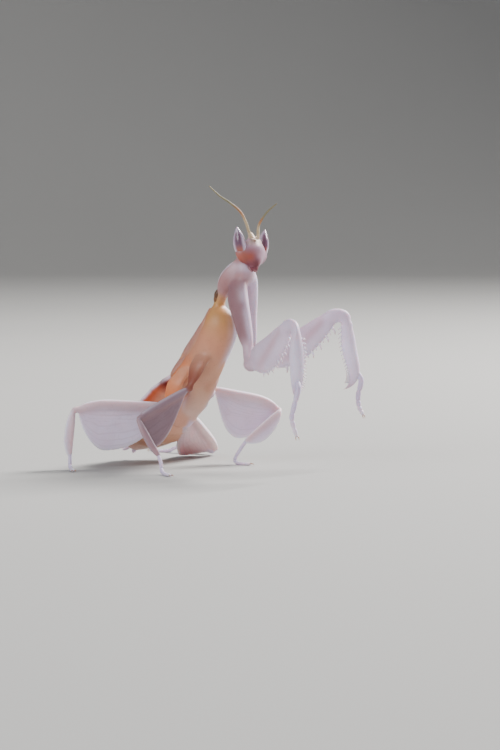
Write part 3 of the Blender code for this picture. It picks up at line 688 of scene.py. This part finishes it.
for name, leg in WALKING_LEGS.items():
    for part in ("root", "hip", "knee", "ankle", "heel", "toe", "hang", "lean"):
        leg[part] = Vector(leg[part])
    root, hip, knee, ankle = leg["root"], leg["hip"], leg["knee"], leg["ankle"]
    girth, hip_tint = leg["girth"], Vector(leg["hip_tint"])
    stages = [BELLY_PEACH, mix(BELLY_PEACH, hip_tint, 0.55), hip_tint, hip_tint]

    def hip_piece_paint(t, unit):
        # On the far middle hip the back edge is whitened as painted rim light.
        painted_rim_light = leg["hip_rim_light"] * step_up(0.75, 0.95, unit.y)
        return mix(curve(stages, t), LILAC_WHITE, painted_rim_light), painted_rim_light * 0.8, NO_VEIN

    buried = root + (root - hip).normalized() * 0.8 + LEFT * (1.9 if name.endswith("right") else -1.2)
    path = [buried, mix(root, hip, 0.33), mix(root, hip, 0.67), hip]
    add_limb(flesh, 30, 26, path, leg["hip_radii"], AHEAD, hip_piece_paint, 0.5 / girth, 5.0, 0.15)
    turn = ((knee - hip).normalized() - (root - hip).normalized()).normalized() * HIP_RADIUS
    add_limb(flesh, 12, 20, [hip - turn, hip, hip + turn], [HIP_RADIUS] * 3, AHEAD, plain(hip_tint), 1.0,
             2.0, 0.05)
    outward = (knee - hip).normalized()
    petal = leg["petal"], leg["peak"], leg["swell"], leg["bow"]
    colours = leg["petal_tint"], leg["shaft_tint"]
    add_petal_limb(hip + outward * (HIP_RADIUS * 0.4), knee - outward * leg["knee_room"], leg["hang"],
                   [shaft * leg["slim"] for shaft in THIGH_SHAFT], petal, 56, colours, leg["rim"])
    start = knee + leg["lean"]
    out = (knee - hip).cross(ankle - knee).cross(ankle - knee)
    if out.dot(knee - hip) < 0:
        out.negate()
    shafts = [shaft * (0.4 + 0.6 * leg["slim"]) for shaft in SHIN_SHAFT]
    add_petal_limb(start, ankle, out, shafts, (leg["fin"], 0.6, 0.6, 0.0), 40, colours, leg["rim"] ** 2)
    joint = [knee - outward * 2.0, knee - outward * 0.6, mix(knee, start, 0.5),
             start + (ankle - start).normalized() * 0.9]
    knuckles = [radius * (0.3 + 0.7 * leg["slim"]) for radius in KNEE_RADII]
    add_limb(flesh, 20, 18, joint, knuckles, leg["hang"], plain(Vector(leg["shaft_tint"])))

# ==== Folds between the hips ====
# Soft folds of the underside: a broad panel and a lobe that run down to the far hind leg, a
# bridge up to the thorax, small white frills at their edges and a rounded cap on that leg's knee.
ACROSS = Vector((1, 0, 0))
panel_path = [(0.6, -1.4, 17.2), (-0.35, -0.9, 14.0), (-2.1, 0.0, 10.8), (-4.2, 2.4, 6.7)]
PANEL_STAGES = points_of([BELLY_PEACH, BELLY_PEACH, (0.73, 0.44, 0.32), (0.76, 0.56, 0.50)])
LOBE_PEACH = Vector((0.72, 0.40, 0.29))


def panel_paint(t, unit):
    """Peach, paler downwards, with a whitish edge to either side."""
    edge = 0.6 * step_up(0.80, 0.96, abs(unit.y))
    return mix(curve(PANEL_STAGES, t), LILAC_WHITE, edge), 0.0, NO_VEIN


add_limb(flesh, 34, 30, panel_path, [1.0, 1.3, 1.7, 1.8, 1.5], ACROSS, panel_paint, 0.34, 8.0, 0.3)
bridge_path = [(1.3, -2.9, 19.0), (0.4, -2.1, 15.9), (-0.9, -0.8, 12.9), (-2.1, 0.6, 10.2)]
add_limb(flesh, 30, 28, bridge_path, [0.8, 1.4, 1.5, 1.2, 0.7], AHEAD, plain(BELLY_PEACH), 0.6, 6.0, 0.2)
lobe_path = [(-3.3, 0.8, 11.6), (-4.6, 1.5, 8.8), (-5.8, 2.3, 5.4)]
add_limb(flesh, 26, 26, lobe_path, [0.9, 1.45, 1.4], ACROSS, plain(LOBE_PEACH), 0.3)
for path, radii, up in (
    ([(0.3, 0.4, 11.3), (-0.5, 0.5, 10.7), (-1.1, 0.7, 9.9)], [0.3, 0.7, 0.3], (1.0, 0.0, -1.0)),
    ([(-1.2, 0.8, 10.1), (-1.5, 1.2, 9.2), (-2.1, 1.6, 8.0)], [0.3, 0.65, 0.35], (1.0, 0.0, -0.3)),
    ([(-3.1, 1.9, 7.9), (-3.9, 2.3, 6.7), (-4.5, 2.8, 5.4)], [0.7, 0.95, 0.7], (1.0, 0.0, 0.0)),
    ([(-1.6, 14.2, 1.55), (-0.7, 14.6, 1.2), (0.05, 14.9, 1.0)], [0.8, 0.95, 0.92], (0.0, 0.0, 1.0)),
):
    add_limb(flesh, 20, 20, path, radii, Vector(up), plain(LILAC_WHITE), 0.35)

# ==== Skin ====
# One soft shell over all the flesh, so that no seam shows between body, hips and legs. It is
# a wax-like cuticle a few hundredths of a millimetre thick, matt, with fine pits and veins.
SKIN_GRAIN, SKIN_THINNED, VEIN_HEIGHT = 0.135, 0.58, 0.015
CRISP_ROUNDS, SOFT_ROUNDS, MELT_ROUNDS = 4, 14, 30
bmesh.ops.recalc_face_normals(flesh, faces=flesh.faces)
form_mesh = bpy.data.meshes.new("flesh_form")
flesh.to_mesh(form_mesh)
form = bpy.data.objects.new("flesh_form", form_mesh)
bpy.context.scene.collection.objects.link(form)
drawn = form.modifiers.new("drawn over", "REMESH")
drawn.mode, drawn.voxel_size = "VOXEL", SKIN_GRAIN
eased = form.modifiers.new("eased", "SMOOTH")
eased.factor, eased.iterations = 0.5, 5
thinned = form.modifiers.new("thinned", "DECIMATE")
thinned.ratio = SKIN_THINNED
bpy.context.view_layer.update()
skin_mesh = bpy.data.meshes.new_from_object(form.evaluated_get(bpy.context.evaluated_depsgraph_get()))
skin_mesh.name = "skin"
bpy.data.objects.remove(form)

count = len(skin_mesh.vertices)
spots = np.empty(count * 3, np.float32)
skin_mesh.vertices.foreach_get("co", spots)
spots = spots.reshape(-1, 3)

flesh.verts.ensure_lookup_table()
flesh.faces.ensure_lookup_table()
layers = flesh.verts.layers
source = np.array([(*v.co, *v[layers.float_color["tint"]][:3], v[layers.float["rim"]],
                    *v[layers.float_vector["vein"]]) for v in flesh.verts])
corners = [[v.index for v in f.verts] for f in flesh.faces]
nearest = BVHTree.FromBMesh(flesh)
painted = np.empty((count, 7))
for i, spot in enumerate(spots.tolist()):
    found = corners[nearest.find_nearest(spot)[2]]
    rows = source[found]
    weight = 1.0 / (((rows[:, :3] - spot) ** 2).sum(1) + 1e-4)
    painted[i] = weight @ rows[:, 3:] / weight.sum()
flesh.free()

ends = np.empty(len(skin_mesh.edges) * 2, np.int32)
skin_mesh.edges.foreach_get("vertices", ends)
ends = ends.reshape(-1, 2)
degree = np.bincount(ends.ravel(), minlength=count)


def eased_over(values, rounds):
    """Values at the skin's points, each drawn towards its neighbours' mean some rounds over."""
    values = values.copy()
    for _ in range(rounds):
        for column in range(values.shape[1]):
            total = np.bincount(ends[:, 0], values[ends[:, 1], column], count)
            total += np.bincount(ends[:, 1], values[ends[:, 0], column], count)
            values[:, column] = 0.5 * values[:, column] + 0.5 * total / degree
    return values


painted[:, 3:] = eased_over(painted[:, 3:], 3)
painted[:, 4:5] = eased_over(painted[:, 4:5], 4)
give = np.clip(1.0 - painted[:, 4:5] * 1.6, 0.0, 1.0)
crisp, soft = (eased_over(painted[:, :3], rounds) for rounds in (CRISP_ROUNDS, SOFT_ROUNDS))
painted[:, :3] = crisp + (soft - crisp) * give

for _ in range(MELT_ROUNDS):
    spots = spots + (eased_over(spots, 1) - spots) * give
skin_mesh.vertices.foreach_set("co", spots.astype(np.float32).ravel())
skin_mesh.update()
normals = np.empty(count * 3, np.float32)
skin_mesh.vertex_normals.foreach_get("vector", normals)
normals = normals.reshape(-1, 3)
ridge = np.cos(painted[:, 5] * PETAL_VEINS * math.pi) ** 8 * painted[:, 6] * (1.0 - painted[:, 3])
spots = (spots + normals * (VEIN_HEIGHT * ridge)[:, None]) * MM
spots[:, 2] = np.maximum(spots[:, 2], 0.0)
skin_mesh.vertices.foreach_set("co", spots.astype(np.float32).ravel())
colours = np.ones((count, 4), np.float32)
colours[:, :3] = painted[:, :3]
for layer, kind, field, values in (
    ("tint", "FLOAT_COLOR", "color", colours), ("rim", "FLOAT", "value", painted[:, 3]),
    ("vein", "FLOAT_VECTOR", "vector", painted[:, 4:]),
):
    data = skin_mesh.attributes.new(layer, kind, "POINT").data
    data.foreach_set(field, values.astype(np.float32).ravel())
skin_mesh.shade_smooth()


def deeper(tint, level):
    """A painted colour made a little deeper."""
    shade = (level, level * 0.94, level * 0.97, 1.0)
    return tint.add("ShaderNodeMix", {"data_type": "RGBA", "blend_type": "MULTIPLY"},
                    {0: 1.0, 6: tint, 7: shade}, 2)


# The white that rims are blended towards is painted rim light, as of light caught by thin edges.
RIM_LIGHT_WHITE = (0.84, 0.80, 0.92)


def wax_finish(name, roughness=0.42, weight=0.35):
    """The insect's waxy cuticle: its painted colour, clouded and pitted, veined, and whitened at its rims
    as painted rim light.
    """
    material, shader, where = new_finish(
        name, roughness, Subsurface_Weight=weight, Subsurface_Scale=0.0011,
        Subsurface_Radius=(1.0, 0.55, 0.42), Specular_IOR_Level=0.4)
    tint, rim, vein = (where.add("ShaderNodeAttribute", {"attribute_name": kind}, output=output)
                       for kind, output in (("tint", 0), ("rim", 2), ("vein", 1)))
    share, strength = (where.add("ShaderNodeSeparateXYZ", None, {0: vein}, axis) for axis in (1, 2))
    cloud, speck, wander = noise(where, 420.0, 3.0), noise(where, 2600.0), noise(where, 900.0) - 0.5
    wave = where.maths("COSINE", (share * PETAL_VEINS + wander * 0.25) * math.tau)
    line = wave.between(0.55, 1.0) * strength
    colour = (cloud.between(0.35, 0.75) * 0.5).blend(tint, deeper(tint, 0.86))
    colour = (line * 0.30).blend(colour, deeper(tint, 0.72))
    colour = (speck.between(0.58, 0.70) * 0.18).blend(colour, deeper(tint, 0.62))
    # The rims are whitened towards a painted rim light.
    connect(shader, "Base Color", (rim * 0.75).blend(colour, RIM_LIGHT_WHITE))
    connect(shader, "Roughness", roughness - 0.06 + 0.14 * cloud)
    raise_bumps(shader, speck * 0.5 + cloud * 0.5 + line * 0.7, 0.35, 0.00004)
    return material


skin_mesh.materials.append(wax_finish("skin_wax"))
skin = bpy.data.objects.new("skin", skin_mesh)
bpy.context.scene.collection.objects.link(skin)
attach(skin, "root")
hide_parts("head", "neck", "prothorax", "mesothorax", "metathorax")
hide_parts(*["abdomen_%d" % (i + 1) for i in range(ABDOMEN_SEGMENTS)])
LEG_PARTS = ("coxa", "trochanter", "femur", "tibia")
for side_name in ("right", "left"):
    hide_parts(*["fore_%s_%s" % (part, side_name) for part in LEG_PARTS])
    for pair in ("mid", "hind"):
        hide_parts(*["%s_%s_%s" % (pair, side_name, part) for part in LEG_PARTS])


def finished(name, bm, material, slot, *nodes):
    """Turns a finished shape into a named piece in metres, riding on the model."""
    bmesh.ops.recalc_face_normals(bm, faces=bm.faces)
    bmesh.ops.scale(bm, vec=(MM, MM, MM), verts=bm.verts)
    piece = as_object(name, bm, material)
    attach(piece, "root")
    if nodes:
        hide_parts(*nodes)


# ==== Eyes ====
# Tall pointed eyes on the corners of the head. Each is a hard glossy shell of tiny facets, dull
# purple down its face with a pale rim on either side.
def clouded_finish(name, roughness, clouds, share, level, **constants):
    """A hard shell in its painted colour, clouded with darker patches."""
    scale, detail, high = clouds
    material, shader, where = new_finish(name, roughness, **constants)
    tint = where.add("ShaderNodeAttribute", {"attribute_name": "tint"})
    cloud = noise(where, scale, detail).between(0.4, high)
    connect(shader, "Base Color", (cloud * share).blend(tint, deeper(tint, level)))
    return material, shader, where


eye_glaze, shader, where = clouded_finish(
    "eye_glaze", 0.22, (1500.0, 3.0, 0.7), 0.5, 0.75, Specular_IOR_Level=0.5, Coat_Weight=0.4,
    Coat_Roughness=0.12, Subsurface_Weight=0.15, Subsurface_Scale=0.0006)
facets = where.add("ShaderNodeTexVoronoi", None, {"Vector": where, "Scale": 9000.0})
raise_bumps(shader, facets, 0.3, 0.00002)
EYE_PURPLE, EYE_RIM, EYE_RED = points_of([(0.16, 0.08, 0.13), (0.54, 0.43, 0.56), (0.38, 0.10, 0.07)])
for side_name, sign, face_turn in (("right", -1.0, (-0.85, 0.53)), ("left", 1.0, (-0.42, 0.91))):
    def eye_paint(t, unit):
        """Purple down the face of the eye, reddening at its foot, pale to either side."""
        facing = unit.x * face_turn[0] + unit.y * face_turn[1]
        core = step_up(0.66, 0.95, facing) * step_up(0.98, 0.72, t)
        return mix(EYE_RIM, mix(EYE_RED, EYE_PURPLE, step_up(0.15, 0.42, t)), core), 0.0, NO_VEIN

    eye = fresh()
    rows = [(sign * 2.0, -0.6, -0.7), (sign * 2.35, -0.5, 0.6), (sign * 2.6, -0.3, 1.95),
            (sign * 2.95, -0.08, 3.3)]
    head_limb(eye, 44, 40, rows, [0.7, 0.9, 0.95, 0.85, 0.52, 0.12], eye_paint, 0.92, 10.0)
    finished(side_name + "_eye", eye, eye_glaze, "eye_lilac", "eye_" + side_name)

# ==== Horn and simple eyes ====
# A small blunt process on the brow between the feelers, cream and waxy, with the three glassy
# beads of the simple eyes at its foot.
horn = fresh()
rows = [(-0.1, 0.0, 1.3), (-0.15, -0.05, 2.0), (-0.2, -0.12, 2.75)]
head_limb(horn, 20, 24, rows, [0.7, 0.45, 0.14], graded(FACE_LILAC, CREAM, CREAM), 1.2)
finished("brow_horn", horn, wax_finish("horn_wax", 0.38), "petal_white", "ocellar_horn")
bead_glass, shader, where = new_finish("bead_glass", 0.08, Coat_Weight=0.6)
AMBER, PALE_AMBER = (0.50, 0.34, 0.20), (0.70, 0.52, 0.34)
connect(shader, "Base Color", noise(where, 3000.0).blend(AMBER, PALE_AMBER))
BEAD_RADIUS = 0.10
beads = fresh()
for left, front, up in ((-0.12, 0.62, 1.55), (-0.42, 0.42, 1.85), (0.18, 0.42, 1.85)):
    bmesh.ops.create_uvsphere(beads, u_segments=16, v_segments=10, radius=BEAD_RADIUS,
                              matrix=Matrix.Translation(on_head(left, front, up)))
finished("simple_eyes", beads, bead_glass, "eye_lilac")

# ==== Feelers ====
# Two fine threads of many short rings, each on a thicker root beside the horn, olive with an
# orange-brown flush partway and bent outwards.
def ringed(height, number):
    """Waists that make a number of even rings along a limb."""
    return lambda t: 1.0 + height * math.cos(math.tau * number * t)


thread_horn = clouded_finish("feeler_horn", 0.5, (2500.0, 2.0, 0.6), 0.4, 0.7)[0]
STRAW_ROOT, RUST, OLIVE = (0.50, 0.38, 0.22), (0.42, 0.19, 0.08), (0.24, 0.20, 0.11)
FEELER_RINGS = 34
for side_name, path in (
    ("right", [(5.2, -8.2, 35.1), (4.7, -8.4, 36.7), (3.9, -8.5, 38.2), (2.4, -8.6, 39.5),
               (0.9, -8.6, 40.5), (-0.7, -8.6, 42.0)]),
    ("left", [(6.5, -7.4, 34.95), (6.6, -7.2, 36.1), (7.1, -7.0, 37.1), (8.0, -6.8, 38.3),
              (9.3, -6.6, 39.4)]),
):
    feeler = fresh()
    path = points_of(path)
    add_limb(feeler, 240, 10, path, [0.23, 0.20, 0.18, 0.16, 0.13, 0.08], Vector((0, 1, 0)),
             graded(STRAW_ROOT, STRAW_ROOT, RUST, OLIVE, OLIVE, OLIVE), power=60.0,
             waist=ringed(0.07, FEELER_RINGS))
    socket = [path[0] - heading(path, 0.0) * 0.9, path[0] + heading(path, 0.0) * 0.1]
    add_limb(feeler, 12, 16, socket, [0.26, 0.23], HEAD_FRONT, graded(CREAM, STRAW_ROOT))
    finished("feeler_" + side_name, feeler, thread_horn, "antenna_olive", "antenna_" + side_name)

# ==== Mouth ====
# The upper lip hangs over two jaws, with a pair of short jointed palps on each side. All are
# thin horn, maroon at the lip and paler at the palps.
mouth = fresh()
PALP_PINK = (0.34, 0.17, 0.20)
lip = [(0.0, -0.15, -2.4), (0.0, -0.22, -2.85), (0.0, -0.35, -3.3)]
head_limb(mouth, 18, 24, lip, [0.44, 0.4, 0.2], graded(CHIN_MAROON, CHIN_MAROON, BLUSH), 1.2)
for sign in (-1.0, 1.0):
    jaw = [(sign * 0.42, -0.45, -2.2), (sign * 0.42, -0.45, -2.75), (sign * 0.15, -0.42, -3.15)]
    head_limb(mouth, 14, 14, jaw, [0.36, 0.34, 0.18], plain(CHIN_MAROON))
    for front, low, reach in ((-0.8, -2.1, 0.4), (-0.6, -2.3, 0.2)):
        palp = [(sign * 0.7, front, low), (sign * (0.7 + reach * 0.4), front + 0.05, low - 0.4),
                (sign * (0.5 + reach * 0.3), front + 0.1, low - 0.8),
                (sign * 0.35, front + 0.15, low - 1.0)]
        head_limb(mouth, 24, 10, palp, [0.12, 0.11, 0.10, 0.07], plain(PALP_PINK))
finished("mouthparts", mouth, wax_finish("mouth_wax", 0.5, 0.15), "mouth_brown", "mouth")

# ==== Shield of the front segment ====
# A saddle-shaped plate over the front segment, widest where it covers the roots of the
# forelegs, with two shallow grooves across it and a pale edge, whitened further by painted rim light.
SHIELD_LILAC = Vector((0.64, 0.48, 0.56))


def shield_shape(place, t):
    rise, _, side, _ = front_shape(place, t)
    groove = 1.0 - 0.07 * bump_at(t, 0.62, 0.035) - 0.04 * bump_at(t, 0.2, 0.03)
    return (rise + 0.16) * groove, 0.2, side * 0.86, 0.7


def shield_paint(t, unit):
    edge = step_up(0.85, 1.0, abs(unit.x))
    return mix(SHIELD_LILAC, SNOW, edge), edge, NO_VEIN


shield = fresh()
loft(shield, 48, 36, trunk_station(PRONOTUM, 0.0, 0.99, shield_shape), shield_paint)
finished("front_shield", shield, wax_finish("shield_wax", 0.4), "petal_white", "pronotum")

# ==== Collar ====
# A brown hardened sleeve of three low rings at the back of the waist, where the front segment
# meets the thorax. It is horn, lighter at its foot, with a straw-coloured bead set behind it.
collar_horn = clouded_finish("collar_horn", 0.45, (1800.0, 4.0, 0.65), 0.6, 0.5)[0]
collar = fresh()
collar_path = [spot - AHEAD * 0.22
               for spot in points_of([(0.75, -2.75, 24.2), (0.9, -2.85, 25.4), (1.3, -3.05, 26.7)])]
COLLAR_BROWNS = (0.34, 0.14, 0.04), (0.18, 0.075, 0.03), (0.10, 0.045, 0.03)
add_limb(collar, 30, 28, collar_path, [0.5, 0.62, 0.72], -AHEAD, graded(*COLLAR_BROWNS), 1.6, 4.0,
         waist=ringed(0.03, 3))
bead_path = [mix(WAIST[0], WAIST[1], 0.45) - AHEAD * 0.72, mix(WAIST[0], WAIST[1], 0.85) - AHEAD * 0.82]
add_limb(collar, 12, 14, bead_path, [0.34, 0.28], AHEAD, plain((0.72, 0.46, 0.14)))
finished("brown_collar", collar, collar_horn, "collar_brown", "collar")

# ==== Wing pads ====
# Two pairs of flat tongues on the back, the front pair lapping over the rear pair. They are
# the growing wings: thin sheets of a brick red that is partly their own and partly painted shade,
# peach at the tips and where their flank edges sink into the body, with a few faint veins and a pale
# lilac edge on the back, whitened further by painted rim light.
pad_wax = wax_finish("pad_wax", 0.4)
PAD_LILAC, PAD_RED_AND_SHADE = Vector((0.70, 0.54, 0.58)), Vector((0.50, 0.23, 0.18))
PAD_THICKNESS, PAD_SUNK = 0.11, 0.20
SIDES = ("right", -1.0), ("left", 1.0)


def on_back(place, angle, side):
    """A spot on the thorax's shell and the way out of it, angle round from the back's midline."""
    along = heading(TRUNK, place)
    up = back_of(along)
    rise, _, half_side, fold = thorax_shape(place, place)
    outward = along.cross(up) * -side
    height = rise * max(0.0, math.cos(angle)) ** fold
    spot = curve(TRUNK, place) + outward * (half_side * math.sin(angle)) + up * height
    return spot, (outward * (math.sin(angle) / half_side) + up * (math.cos(angle) / rise)).normalized()


for pad_name, start, end, middle, half_angle, lift in (
    ("wing_pad_fore", 0.95, 0.24, 50.0, 32.0, 0.13), ("wing_pad_hind", 0.48, 0.02, 54.0, 28.0, 0.04),
):
    for side_name, side in SIDES:
        def pad_station(t):
            width = math.radians(half_angle) * curve([0.55, 0.9, 1.0, 0.95, 0.6], t) * blunt(t, 5, 0.25)
            turn = math.radians(mix(middle - 8.0, middle + 4.0, t))

            def place(unit):
                spot, out = on_back(mix(start, end, t), turn + unit.x * width, side)
                sunk = PAD_SUNK * step_up(0.55, 1.0, unit.x)
                return spot + out * (lift * (0.3 + 0.7 * t) - sunk + unit.y * PAD_THICKNESS)

            return place

        def pad_paint(t, unit):
            edge = step_up(0.80, 0.98, -unit.x)
            # The brick red is partly the pads' own colour and partly painted shade under their edges.
            colour = mix(PAD_RED_AND_SHADE, PEACH, step_up(0.6, 0.98, max(unit.x, 2.0 * t - 1.0)))
            return mix(colour, PAD_LILAC, edge), edge, (t * 8.0, unit.x * 0.5 + 0.5, 0.5)

        pad = fresh()
        loft(pad, 44, 40, pad_station, pad_paint)
        finished("%s_%s" % (side_name, pad_name), pad, pad_wax, "petal_white",
                 "%s_%s" % (pad_name, side_name))

# ==== Spines of the forelegs ====
# Rows of hard points, long and short by turns along the two lower edges of the thigh, and small
# dense teeth along the shin's inner edges. They are set in the cuticle, cream with darker tips.
spine_wax = wax_finish("spine_wax", 0.3, 0.2)
SPINE_ROOT, SPINE_TIP = Vector((0.80, 0.72, 0.84)), Vector((0.60, 0.36, 0.36))


def grow_spine(bm, root, way, length, thickness, bend):
    path = [root - way * 0.25, root + way * length * 0.5, root + way * length + bend * length * 0.25]
    add_limb(bm, 7, 7, path, [thickness, thickness * 0.7, 0.02], bend,
             graded(SPINE_ROOT, SPINE_ROOT, SPINE_TIP), 1.0, 30.0, 0.3)


def set_spines(bm, path, face, places, radii, seat, lean, size_at):
    """Spines along both edges of a limb's face, leaning onwards along the limb or back."""
    for i, t in enumerate(places):
        along = heading(path, t)
        down = (face - along * face.dot(along)).normalized()
        across = along.cross(down)
        depth = curve(radii, t)
        for edge in (-1.0, 1.0):
            root = curve(path, t) + down * (depth * seat[0]) + across * (edge * seat[1] * depth)
            way = (down + across * (0.25 * edge) + along * lean).normalized()
            grow_spine(bm, root, way, *size_at(i), along * math.copysign(1.0, lean))


THIGH_SPINES = [mix(0.26, 0.86, i / 12) for i in range(13)]
SHIN_TEETH = [mix(0.10, 0.72, i / 19) for i in range(20)]
for side_name, leg in FORELEGS.items():
    spines = fresh()
    size = leg["spine_size"]
    set_spines(spines, leg["femur"], Vector(leg["below"]).normalized(), THIGH_SPINES,
               [1.0, 2.0, 2.4, 2.3, 1.95, 1.6, 1.2], (0.90, 0.14), -0.15,
               lambda i: (0.95 * size, 0.22 * size) if i % 2 == 0 else (0.45 * size, 0.13 * size))
    set_spines(spines, leg["tibia"], Vector(leg["inward"]).normalized(), SHIN_TEETH,
               [1.05, 1.25, 1.15, 0.95, 0.6, 0.3, 0.1], (0.88, 0.225), 0.55,
               lambda i: (mix(0.38, 0.5, i / 19), 0.10))
    finished("spines_" + side_name, spines, spine_wax, "petal_white")

# ==== Feet ====
# Every leg ends in a slim waxy foot of five joints, narrowed between them, with a pair of brown
# claws at the tip. The walking feet start inside the shins and lie flat; the front pair hang.
foot_wax = wax_finish("foot_wax", 0.4, 0.25)
FOOT_LILAC, CLAW_BROWN = Vector((0.66, 0.58, 0.78)), Vector((0.35, 0.20, 0.14))
FOOT_JOINTS = (0.42, 0.62, 0.77, 0.88)
FOOT_TOP = Vector((0, 0.2, 1))


def foot_waist(t):
    nearest_joint = min(abs(t - joint) for joint in FOOT_JOINTS)
    return 1.0 - 0.28 * bump_at(nearest_joint, 0.0, 0.018)


def make_foot(name, route, radii, node):
    """A jointed foot along its route, with two claws, cut off level where it meets the floor."""
    foot = fresh()
    add_limb(foot, 90, 14, route, radii, FOOT_TOP, graded(FOOT_LILAC, FOOT_LILAC, FOOT_LILAC, SPINE_ROOT),
             power=14.0, waist=foot_waist)
    end, onwards = route[-1], heading(route, 1.0)
    across = onwards.cross(FOOT_TOP).normalized()
    for edge in (-1.0, 1.0):
        claw = [end - onwards * 0.15 + across * (0.08 * edge),
                end + onwards * 0.25 + across * (0.28 * edge) + Vector((0, 0, 0.08)),
                end + onwards * 0.5 + across * (0.30 * edge) - Vector((0, 0, 0.1))]
        add_limb(foot, 10, 8, claw, [0.10, 0.07, 0.02], across,
                 graded(FOOT_LILAC, CLAW_BROWN, CLAW_BROWN), 1.0, 30.0, 0.3)
    if min(v.co.z for v in foot.verts) < 0.0:
        bmesh.ops.bisect_plane(foot, geom=foot.verts[:] + foot.edges[:] + foot.faces[:],
                               plane_no=(0, 0, -1), clear_outer=True)
        bmesh.ops.holes_fill(foot, edges=foot.edges, sides=0)
    finished(name, foot, foot_wax, "petal_white", node)


for side_name, leg in FORELEGS.items():
    wrist = mix(leg["tibia"][1], leg["tibia"][2], 0.85)
    make_foot("fore_foot_" + side_name, [wrist] + leg["tarsus"], [0.34, 0.42, 0.38, 0.36, 0.33],
              "fore_tarsus_" + side_name)
for name, leg in WALKING_LEGS.items():
    ankle, heel, toe = leg["ankle"], leg["heel"], leg["toe"]
    ball = mix(heel, toe, 0.3)
    ball.z = toe.z
    route = [mix(ankle, leg["knee"] + leg["lean"], 0.10), mix(ankle, heel, 0.35), mix(heel, ankle, 0.1),
             ball, toe]
    make_foot(name + "_foot", route, [0.26, 0.28, 0.29, 0.26], name + "_tarsus")

# ==== Tail feelers ====
# Two short blunt cones of five low rings at the tip of the abdomen, one to each side. They are
# pale and waxy like the feet.
tail_wax = wax_finish("tail_wax")
along = heading(ABDOMEN, 0.0)
across = back_of(along, ABDOMEN_ROLL).cross(along).normalized()
for side_name, sign in SIDES:
    root = ABDOMEN[0] + across * sign * 0.55
    tip = root - along * 1.2 + across * sign * 0.5
    tail = fresh()
    add_limb(tail, 30, 16, [root, tip], [0.34, 0.34, 0.16], Vector((0, 0, 1)), plain(LILAC_WHITE),
             power=8.0, waist=ringed(0.08, 5))
    finished("tail_feeler_" + side_name, tail, tail_wax, "petal_white", "cercus_" + side_name)
